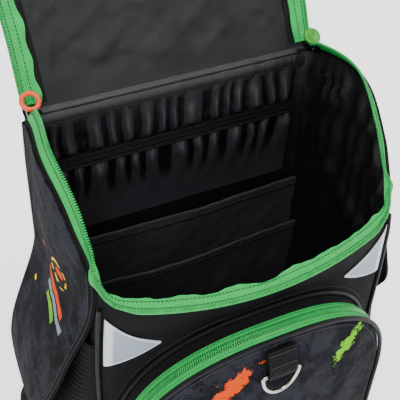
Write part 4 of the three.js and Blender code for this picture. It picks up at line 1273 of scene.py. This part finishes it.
def pocket_outline(offset):
    """Outline of the front pocket in (x, z): a superellipse arch, straight sides and a rounded foot."""
    w, rise = ARCH_HALF + offset, ARCH_TOP - ARCH_SPRING + offset
    foot, r = ARCH_FLOOR - offset, ARCH_CORNER + offset
    angle = np.pi * (1 - np.linspace(0, 1, 121))
    c, s = np.cos(angle), np.clip(np.sin(angle), 0, 1)
    arch = np.stack(
        [np.sign(c) * np.abs(c) ** (2 / ARCH_POWER) * w, ARCH_SPRING + rise * s ** (2 / ARCH_POWER)], 1
    )
    down = np.linspace(ARCH_SPRING, foot + r, 22)[1:-1]
    right = np.stack([np.full(20, w), down], 1)
    turn = np.linspace(0, np.pi / 2, 9)
    right_foot = np.stack([w - r + r * np.cos(turn), foot + r - r * np.sin(turn)], 1)
    floor = np.linspace(w - r, -w + r, 50)[1:-1]
    under = np.stack([floor, np.full(48, foot)], 1)
    left_foot = right_foot[::-1] * (-1, 1)
    left = right[::-1] * (-1, 1)
    return np.concatenate([arch, right, right_foot, under, left_foot, left])


def on_pocket(outline, depth):
    x, z = outline[..., 0], outline[..., 1]
    return np.stack([x, front_at(x, z) - depth, z], -1)


def zip_line(offset):
    """Path of the pocket's zip: up from its left end, over the arch and down to its right end."""
    arch = pocket_outline(offset)[:121]
    rise = np.linspace(ZIP_FOOT, ARCH_SPRING, 5)[:-1]
    left = np.stack([np.full(4, arch[0, 0]), rise], 1)
    right = np.stack([np.full(4, arch[-1, 0]), rise[::-1]], 1)
    return np.concatenate([left, arch, right])


def face_at(z):
    middle = (ARCH_FLOOR + ARCH_TOP) / 2
    share = np.abs(z - middle) / (ARCH_TOP - middle)
    return front_at(0.0, z) - GUSSET - CLEAR - GUSSET_WALL - FACE_DOME * (1 - share ** 2)


def sew_front_pocket():
    """Arched front pocket: gusset, closed zip over the top, domed printed face and two piped edges."""
    outline = pocket_outline(0)
    inner = pocket_outline(-GUSSET_WALL)
    depths = np.linspace(CLEAR, GUSSET, 16)
    rings = []
    for depth in depths:
        pull = 0.35 * ripple(lengths(outline), depth, 30, 51)[:, None] * math.sin(
            math.pi * depth / GUSSET
        )
        rings.append(on_pocket(outline + pull * 0.4, depth))
    rings += [on_pocket(inner, depth) for depth in depths[::-1]]
    rings = np.stack(rings, 1)
    strip = Piece().tube(rings, closed=True)
    strip = strip.make("pocket_side_strip", BLACK, "black_fabric", ("pocket_gusset",))

    middle = (ARCH_FLOOR + ARCH_TOP) / 2
    centre = np.array([0, middle])

    def face(scale, depth):
        place = centre + (outline - centre) * scale
        soft = ripple(place[:, 0], place[:, 1], 60, 52) * 0.9 * smooth((1 - scale) / 0.12)
        edge = 1.2 * smooth((scale - 0.97) / 0.03)
        return on_pocket(place, depth + FACE_DOME * (1 - scale ** 2) + soft - edge)

    scales = np.concatenate([[1, 0.99, 0.975], np.linspace(0.955, 0.05, 40)])
    front = [face(s, GUSSET + CLEAR + GUSSET_WALL) for s in scales]
    rear = [face(s, GUSSET + CLEAR) for s in scales[::-1]]
    piece = Piece().tube(np.stack(rear + front), mark=100)
    piece = piece.make("pocket_face_cloth", PRINT_FACE, "print_fabric", ("pocket_face",), crease=60)

    tape = Piece()
    for low, high in (
        (ZIP_START - 0.6, ZIP_START + 6.3),
        (ZIP_START + 8.7, ZIP_START + ZIP_WIDTH + 0.6),
    ):
        columns = np.linspace(0, 1, 6)
        crown = 1.35 + 0.5 * np.sin(np.pi * columns)
        line = zip_line(0.35)
        over = np.stack([on_pocket(zip_line(k), mix(low, high, c)) for c, k in zip(columns, crown)], 1)
        under = np.stack([on_pocket(line, mix(low, high, c)) for c in columns], 1)
        tape.plate(over, under)
    tape.make("pocket_zip_tapes", TAPE, "zipper_green", ("pocket_zipper",))
    mid = ZIP_START + ZIP_WIDTH / 2
    coil = Piece()
    for shift, start in ((-1.2, 0), (1.2, 1)):
        path = resample(on_pocket(zip_line(2.1), mid + shift), TOOTH_PITCH / 2)[start::2]
        side = np.broadcast_to([0.0, -1.0, 0.0], path.shape)
        along = unit(np.gradient(path, axis=0))
        coil.beads(path, unit(side - along * (side * along).sum(1, keepdims=True)), along, 3.8, 1.4, 1.7)
    coil.make("pocket_zip_coil", COIL, "zipper_green", ("pocket_zipper",))
    seams = Piece()
    out = on_pocket(zip_line(3), 0) - on_pocket(zip_line(1), 0)
    for depth in (ZIP_START + 1.6, ZIP_START + 13.4):
        seams.seam(on_pocket(zip_line(1.75), depth), out, width=0.5)
    for depth in (ZIP_START + 5.0, ZIP_START + 10.0):
        seams.seam(on_pocket(zip_line(1.95), depth), out, pitch=2.4, length=2.35, width=1.0)
    seams.make("pocket_zip_stitches", GREEN_THREAD, "zipper_green")

    cord_line = pocket_outline(2.3)
    forward = (0, -1, 0)
    for name, node, depth in (
        ("pocket_base_cord", "pocket_base_piping", 2.3), (
            "pocket_face_cord", "pocket_face_piping", GUSSET + 2.0
        ),
    ):
        path = on_pocket(cord_line, depth)
        Piece().tube(round_rings(path, PIPING_RADIUS, forward, closed=True), closed=True).make(
            name, PIPING, "piping", (node,))
    edge = on_pocket(centre + (outline - centre) * 0.966, GUSSET + CLEAR + GUSSET_WALL + 0.35)
    seams = Piece().seam(edge, forward, pitch=3.0)
    base = on_pocket(pocket_outline(6.6), 0.25)
    seams.seam(base, forward, pitch=3.0)
    seams.make("pocket_stitches", BLACK_THREAD, "black_fabric")

    for side, suffix in ((-1, "left"), (1, "right")):
        z = np.array([ZIP_FOOT - 0.3, ZIP_FOOT - 3, ZIP_FOOT - 9, ZIP_FOOT - 16, ZIP_FOOT - 20])
        reach = np.array([4.6, 6.6, 8.0, 5.0, 2.2])
        x = side * (ARCH_HALF + CLEAR + reach / 2)
        y = front_at(np.full(5, float(ARCH_HALF)), z) - ZIP_START - ZIP_WIDTH / 2
        path = curve(np.stack([x, y, z], 1), np.linspace(0, 1, 20))
        thick = curve(reach[:, None], np.linspace(0, 1, 20))[:, 0]
        rings = bar_rings(path, (0, 1, 0), 14.6, thick, 0.35, 24)
        Piece().tube(rings).make(
            f"zip_end_fold_{suffix}", WEBBING, "webbing", (f"zip_end_tab_{suffix}",)
        )


def sew_hanging_tab():
    """Webbing folded round the bar of the D-ring, with two rows of stitches, and the ring itself."""
    turn = np.linspace(np.pi, 2 * np.pi, 13)
    loop = np.stack([RING_BAR_Y + 2.95 * np.cos(turn), RING_BAR + 2.95 * np.sin(turn)], 1)
    top = face_at(228.0)
    ahead = np.array(
        [[top - 2.9, 227.8], [mix(top - 2.9, RING_BAR_Y - 2.95, 0.5), 218], [RING_BAR_Y - 2.9, 208]]
    )
    behind = np.array([[face_at(209.0) - 1.6, 209], [face_at(218.0) - 1.3, 218], [top - 1.3, 227.6]])
    line = resample(curve(np.concatenate([ahead, loop, behind]), np.linspace(0, 1, 120)), 0.9)
    path = np.stack([np.zeros(len(line)), line[:, 0], line[:, 1]], 1)
    Piece().tube(bar_rings(path, (1, 0, 0), WEBBING_WIDTH, 1.35, 0.3, 28)).make(
        "ring_tab", WEBBING, "webbing", ("hanging_tab",))
    x = span(-10.5, 10.5, 1)
    seams = Piece()
    for height in (214.0, 224.5):
        depth = np.interp(height, [208, 218, 227.8], [RING_BAR_Y - 2.9, ahead[1, 0], top - 2.9])
        seams.seam(
            np.stack([x, np.full(len(x), depth - 0.8), np.full(len(x), height)], 1), (0, -1, 0), 2.6
        )
    seams.make("ring_tab_stitches", BLACK_THREAD, "webbing")

    bar = np.stack([np.array([-0.8, -0.3, 0.3, 0.8]) * RING_HALF, np.full(4, RING_BAR)], 1)
    angle = np.pi * (0.02 + 0.96 * np.linspace(0, 1, 15))
    bow = np.stack([RING_HALF * np.cos(angle), RING_BAR - RING_DROP * np.sin(angle)], 1)
    points = np.concatenate([bar, bow])
    again = np.concatenate([points[-2:], points, points[:3]])
    last = len(again) - 1
    smoothed = curve(again, np.linspace(2 / last, (last - 2) / last, 120))[:-1]
    path = np.stack([smoothed[:, 0], np.full(len(smoothed), RING_BAR_Y), smoothed[:, 1]], 1)
    ring = Piece().tube(round_rings(path, WIRE, (0, -1, 0), closed=True, sides=14), closed=True)
    ring.make("d_ring_wire", NICKEL, "nickel", ("d_ring",), body="ring")


def cut_patch(side, name, node):
    """Reflective patch: a curved triangle that tapers from the corner seam to its point."""
    u = np.linspace(0, 1, 48)[None]
    v = np.linspace(0, 1, 28)[:, None]
    x = mix(HALF_WIDTH - SEAM_RADIUS / 2, 82, u) * np.ones_like(v)
    top = mix(266, 231, u) - 5 * np.sin(np.pi * u)
    bottom = mix(212, 229.5, u) - 3 * np.sin(np.pi * u)
    z = mix(bottom, top, v)
    past = np.maximum(0, np.abs(x) - (HALF_WIDTH - SEAM_RADIUS))
    face = front_at(x, z) + SEAM_RADIUS - np.sqrt(SEAM_RADIUS ** 2 - past ** 2)
    near = np.minimum(np.minimum(z - bottom, top - z), (1 - u) * 43 * 0.45)
    bulge = 0.25 * smooth(near / 3)
    seam_side = np.minimum(near, (HALF_WIDTH - SEAM_RADIUS / 2 - x) * 0.35)
    front = settle(np.stack([side * x, face - 1.4 - bulge, z], -1))
    back = settle(np.stack([side * x, face - 0.6, z], -1))
    Piece().plate(front, back, mark=seam_side).make(name, FILM, "reflective", (node,), crease=60)


def sew_corner_cord(corner, top_share, name, node):
    """Piping cord along a corner seam, from the base up to the zip."""
    points = []
    for share in np.linspace(0.04, top_share, 60):
        ring = wall_ring(share, 0, BASE_RISE * (1 - share))
        points.append(ring[corner] + plan_normals(ring)[corner] * 2.3)
    path = np.stack(points)
    Piece().tube(round_rings(path, PIPING_RADIUS, (1, 0, 0))).make(name, PIPING, "piping", (node,))


def tilted(points):
    """Points leant back about the x axis, as a puller stands against its slider."""
    c, s = math.cos(PULLER_TILT), math.sin(PULLER_TILT)
    x, y, z = np.moveaxis(points, -1, 0)
    return np.stack([x, y * c - z * s, y * s + z * c], -1)


def cast_sliders():
    """Zip sliders at the rear of the rim and on the pocket, with a soft ring and a soft disc to pull."""
    for side, suffix in ((-1, "left"), (1, "right")):
        low, high = node_box(f"slider_{suffix}")
        middle = (low + high) / 2
        wide, long, tall = high - low
        slider = Piece()
        for lift in (-0.34, 0.1):
            plate = block_rings((wide, long, tall * 0.3), 0.3)
            taper = 1 - 0.3 * smooth((plate[..., 1] / long) + 0.2)
            plate[..., 0] *= taper
            slider.tube(plate + middle + (0, 0, lift * tall))
        slider.tube(
            block_rings((wide * 0.3, long * 0.4, tall * 0.7), 0.5) + middle + (0, -long * 0.2, 0)
        )
        turn = np.linspace(0, np.pi, 20)
        arch = np.stack(
            [np.zeros(20), np.cos(turn) * long * 0.36, np.sin(turn) * tall * 0.34 + tall * 0.14], 1
        )
        slider.tube(bar_rings(arch + middle, (1, 0, 0), wide * 0.3, 0.9, 0.5))
        slider.make(f"slider_body_{suffix}", DARK_METAL, "nickel", (f"slider_{suffix}",))
    low, high = node_box("pocket_slider")
    middle = (low + high) / 2
    tall, wide, long = high - low
    slider = Piece()
    for lift in (-0.34, 0.14):
        slider.tube(block_rings((tall * 0.3, wide, long), 0.3) + middle + (-lift * tall, 0, 0))
    slider.tube(block_rings((tall * 0.8, wide * 0.3, long * 0.4), 0.5) + middle + (0, 0, long * 0.2))
    hang = np.stack(
        [np.linspace(-tall * 0.3, -tall * 0.38, 12), np.zeros(12), np.linspace(5, -7, 12)], 1
    )
    slider.tube(bar_rings(hang + middle, (0, 1, 0), 4.4, 1.0, 0.4))
    slider.make("pocket_slider_body", DARK_METAL, "nickel", ("pocket_slider",))

    low, high = node_box("puller_left")
    middle, reach = (low + high) / 2, (high[0] - low[0]) / 2
    turn = np.arange(64) * 2 * np.pi / 64
    thick = (high[2] - low[2]) / 2
    circle = np.stack([np.cos(turn) * (reach - thick), np.sin(turn) * (reach - thick), 0 * turn], 1)
    circle = tilted(circle) + (0, 0, reach * 0.35)
    ring = Piece().tube(
        round_rings(circle + middle, thick, (0, 0, 1), closed=True, sides=14), closed=True
    )
    ring.make("puller_ring", ORANGE_PLASTIC, "puller_orange", ("puller_left",))
    low, high = node_box("puller_right")
    middle, reach, tall = (low + high) / 2, (high[0] - low[0]) / 2, high[2] - low[2]
    profile = np.array([
        (0.03, 0.16), (0.45, 0.16), (0.56, 0.3), (0.72, 0.46), (0.9, 0.4), (1.0, 0.12),
        (1.0, -0.12), (0.9, -0.4), (0.72, -0.46), (0.56, -0.3), (0.45, -0.16), (0.03, -0.16),
    ])
    rings = np.stack([
        profile[:, :1] * np.cos(turn) * reach, profile[:, :1] * np.sin(turn) * reach,
        profile[:, 1:] * tall * np.ones(64),
    ], -1)
    rings = tilted(rings) + (0, 0, reach * 0.35)
    Piece().tube(rings + middle).make("puller_disc", LIME_PLASTIC, "puller_lime", ("puller_right",))


def pad_back():
    """Padded back panel in air mesh: three pillows a side, split by sewn channels, in a bound edge."""
    low, high = node_box("back_pad")
    middle = (low + high) / 2
    w, h = high[0] - 1.0, (high[2] - low[2]) / 2 - 1.0
    turn = np.arange(160) * 2 * np.pi / 160
    c, s = np.cos(turn), np.sin(turn)
    edge = np.stack([np.sign(c) * np.abs(c) ** 0.42 * w, np.sign(s) * np.abs(s) ** 0.42 * h], 1)
    thick = high[1] - low[1]

    def level(scale, flat):
        x, z = edge[:, 0] * scale, edge[:, 1] * scale
        crown = (1 - scale ** 8) ** 0.6
        dip = np.exp(-(x / 5) ** 2)
        for height in (-h / 3, h / 3):
            dip = np.maximum(dip, np.exp(-((z - height - 0.06 * np.abs(x)) / 4) ** 2))
        y = low[1] + (0.3 if flat else 1.5 + (thick - 1.5) * crown * (1 - 0.55 * dip))
        return np.stack([x, y + 0 * x, middle[2] + z], 1)

    front = [level(scale, False) for scale in np.linspace(1, 0.03, 60)]
    rear = [level(scale, True) for scale in np.linspace(0.03, 1, 8)]
    piece = Piece().tube(np.stack(rear + front)).make(
        "back_cushion", MESH, "padding", ("back_pad",), crease=70
    )
    line = np.stack([edge[:, 0], np.full(160, low[1] + 1.6), middle[2] + edge[:, 1]], 1)
    Piece().tube(round_rings(line, 1.6, (0, 1, 0), closed=True), closed=True).make(
        "back_cushion_binding", PIPING, "piping")


STRAP_ROUTE = np.array([
    (0, 1), (0.14, 1), (0.4, 1.02), (0.68, 0.99), (0.9, 0.86),
    (1, 0.64), (0.98, 0.4), (0.88, 0.18), (0.76, 0),
])


def hang_straps():
    """Shoulder straps in padded mesh with bound edges, ladder buckles and webbing down to the base."""
    for side, suffix in ((-1, "left"), (1, "right")):
        route = curve(STRAP_ROUTE, np.linspace(0, 1, 120))
        path = np.stack([
            np.full(120, side * STRAP_AT), HALF_DEPTH + CLEAR + route[:, 0] * 52, mix(
                96, 296, route[:, 1]
            ),
        ], 1)
        full = np.minimum(1, 0.45 + np.minimum(np.linspace(0, 1, 120), np.linspace(1, 0, 120)) * 9)
        piece = Piece().tube(bar_rings(path, (1, 0, 0), STRAP_WIDTH, STRAP_THICKNESS * full, 0.62, 40))
        piece = piece.make(
            f"strap_cushion_{suffix}", MESH, "padding", (f"shoulder_strap_{suffix}",), crease=70
        )
        edging = Piece()
        for edge in (-1, 1):
            line = path + (edge * STRAP_EDGE, 0, 0)
            edging.tube(round_rings(line, 1.5, (1, 0, 0)))
        edging.make(f"strap_binding_{suffix}", PIPING, "piping")

        down = unit(path[-1] - path[-8])
        over = np.array([0, -down[2], down[1]])
        middle = path[-1] + down * 8.6
        buckle = Piece()
        for shift in (-7.0, 0.0, 7.0):
            bar = np.linspace(-14, 14, 24)[:, None] * np.array([1.0, 0, 0]) + middle + down * shift
            buckle.tube(bar_rings(bar, down, 3.0, 3.6 if shift else 2.6, 0.5))
        for edge in (-1, 1):
            rail = middle + (edge * 13.6, 0, 0) + down * np.linspace(-8, 8, 24)[:, None]
            buckle.tube(bar_rings(rail, (1, 0, 0), 3.4, 5.4, 0.5))
        buckle.make(
            f"ladder_buckle_{suffix}", BLACK_PLASTIC, "buckle_plastic", (f"strap_buckle_{suffix}",)
        )

        start = middle - down * 6 + over * 0.8
        anchor = np.array([side * (HALF_WIDTH - 35), HALF_DEPTH + CLEAR + 3.6, 24.0])
        lead = anchor + (-side * 3, 2, 14)
        half = mix(start + down * 14, lead, 0.5) + (0, 6, -4)
        line = curve(np.stack([start, start + down * 26, half, lead, anchor]), np.linspace(0, 1, 90))
        Piece().tube(bar_rings(line, (1, 0, 0), WEBBING_WIDTH, 1.7, 0.3, 28)).make(
            f"strap_band_{suffix}", WEBBING, "webbing", (f"strap_webbing_{suffix}",))


def wrap_handle():
    """Grab handle: a padded roll in webbing."""
    t = np.linspace(0, 1, 60)
    low = 9.0
    out = low + (HANDLE_REACH - low) * np.sin(np.pi * t)
    arch = np.stack(
        [-HANDLE_HALF * np.cos(np.pi * t), HALF_DEPTH + CLEAR + out, np.full(60, HANDLE_HEIGHT)], 1
    )
    ends = np.array([[x, HALF_DEPTH + CLEAR, HANDLE_HEIGHT] for x in (-HANDLE_HALF, HANDLE_HALF)])
    path = resample(np.concatenate([ends[:1], arch, ends[1:]]), 2.0)
    share = np.linspace(0, 1, len(path))
    radius = 5.2 + 0.7 * smooth(np.minimum(share, 1 - share) / 0.2)
    rings = round_rings(path, radius, (0, 0, 1), sides=28)
    piece = Piece().tube(rings).make("handle_roll", WEBBING, "webbing", ("grab_handle",))


# Studio

PHOTO_SIDE = 400
FOCAL_PIXELS = 871.65
CENTRE_SHIFT = (12.14, -1.82)
CAMERA_TURN = math.radians(-29.02)
CAMERA_RISE = math.radians(42.34)
CAMERA_ROLL = math.radians(3.97)
CAMERA_TARGET = np.array([0, 0, 0.276])
CAMERA_DISTANCE = 0.70736
SENSOR = 36.0


def set_camera():
    """Camera at the photograph's angle, by its turn, rise, distance and roll."""
    back = np.array([
        math.sin(CAMERA_TURN) * math.cos(CAMERA_RISE),
        -math.cos(CAMERA_TURN) * math.cos(CAMERA_RISE),
        math.sin(CAMERA_RISE),
    ])
    level = unit(np.cross([0, 0, 1.0], back))
    upright = np.cross(back, level)
    c, s = math.cos(CAMERA_ROLL), math.sin(CAMERA_ROLL)
    data = bpy.data.cameras.new("camera")
    data.sensor_width = SENSOR
    data.lens = FOCAL_PIXELS * SENSOR / PHOTO_SIDE
    data.shift_x = -CENTRE_SHIFT[0] / PHOTO_SIDE
    data.shift_y = CENTRE_SHIFT[1] / PHOTO_SIDE
    data.clip_start = 0.01
    camera = bpy.data.objects.new("camera", data)
    bpy.context.scene.collection.objects.link(camera)
    frame_axes = np.eye(4)
    frame_axes[:3, 0] = level * c + upright * s
    frame_axes[:3, 1] = upright * c - level * s
    frame_axes[:3, 2] = back
    frame_axes[:3, 3] = CAMERA_TARGET + back * CAMERA_DISTANCE
    camera.matrix_world = Matrix(frame_axes.tolist())
    bpy.context.scene.camera = camera


def add_light(name, place, size, power):
    """A soft square light that faces the bag."""
    data = bpy.data.lights.new(name, "AREA")
    data.shape = "SQUARE"
    data.size = size
    data.energy = power
    light = bpy.data.objects.new(name, data)
    bpy.context.scene.collection.objects.link(light)
    back = unit(np.array(place, float) - CAMERA_TARGET)
    side = unit(np.cross([0.02, 0.01, 1.0], back))
    axes = np.eye(4)
    axes[:3, 0], axes[:3, 1], axes[:3, 2], axes[:3, 3] = side, np.cross(back, side), back, place
    light.matrix_world = Matrix(axes.tolist())


def build_studio():
    """Pale floor, bright even surroundings and three soft lights."""
    finish = Finish("studio_floor", roughness=0.9)
    solid, _ = finish.place()
    colour = finish.blend(finish.noise(solid, 0.6), srgb(244, 244, 244), srgb(248, 248, 248))
    material = finish.paint(colour)
    finish.tree.links.new(colour.socket, finish.shader.inputs["Emission Color"])
    finish.shader.inputs["Emission Strength"].default_value = 1.1
    mesh = bpy.data.meshes.new("floor")
    half = 6.0
    corners = [
        (-half, -half, -0.0004), (half, -half, -0.0004), (half, half, -0.0004), (-half, half, -0.0004)
    ]
    mesh.from_pydata(corners, [], [(0, 1, 2, 3)])
    mesh.materials.append(material)
    floor = bpy.data.objects.new("floor", mesh)
    bpy.context.scene.collection.objects.link(floor)
    floor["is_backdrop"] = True
    world = bpy.data.worlds.new("surroundings")
    world.use_nodes = True
    world.node_tree.nodes["Background"].inputs["Color"].default_value = (1.0, 1.0, 1.0, 1.0)
    world.node_tree.nodes["Background"].inputs["Strength"].default_value = 0.75
    bpy.context.scene.world = world
    add_light("key", (-0.9, -1.1, 2.1), 1.0, 48)
    add_light("fill", (1.5, -1.3, 1.3), 1.2, 16)
    add_light("top", (0.3, 0.2, 2.6), 1.2, 34)


set_camera()
build_studio()
sew_body()
sew_rim_zip()
sew_lid()
sew_back_wall()
sew_divider("rear_divider", "divider_rear", 207, 1.5, 9, 41)
sew_divider("front_divider", "divider_front", 157, 6, 20, 43)
sew_side_flap(-1, "left_flap", "side_flap_left", PRINT_LEFT)
sew_side_flap(1, "right_flap", "side_flap_right", PRINT)
knit_side_pocket(-1, "left_pocket", "side_pocket_left")
knit_side_pocket(1, "right_pocket", "side_pocket_right")
sew_front_pocket()
sew_hanging_tab()
cut_patch(-1, "left_patch", "patch_left")
cut_patch(1, "right_patch", "patch_right")
RIGHT_CORNER = FRONT_STEPS + CORNER_STEPS // 2
REAR_RIGHT = RIGHT_CORNER + CORNER_STEPS + SIDE_STEPS
REAR_LEFT = REAR_RIGHT + CORNER_STEPS + BACK_STEPS
LEFT_CORNER = REAR_LEFT + CORNER_STEPS + SIDE_STEPS
sew_corner_cord(LEFT_CORNER, 0.95, "front_left_cord", "corner_piping_front_left")
sew_corner_cord(RIGHT_CORNER, 0.95, "front_right_cord", "corner_piping_front_right")
sew_corner_cord(REAR_LEFT, 0.96, "rear_left_cord", "corner_piping_rear_left")
sew_corner_cord(REAR_RIGHT, 0.96, "rear_right_cord", "corner_piping_rear_right")
cast_sliders()
pad_back()
hang_straps()
wrap_handle()

boxes = {"cad": cad_box, "visual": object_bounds()}
{key: [[float(n) for n in corner] for corner in box] for key, box in boxes.items()}
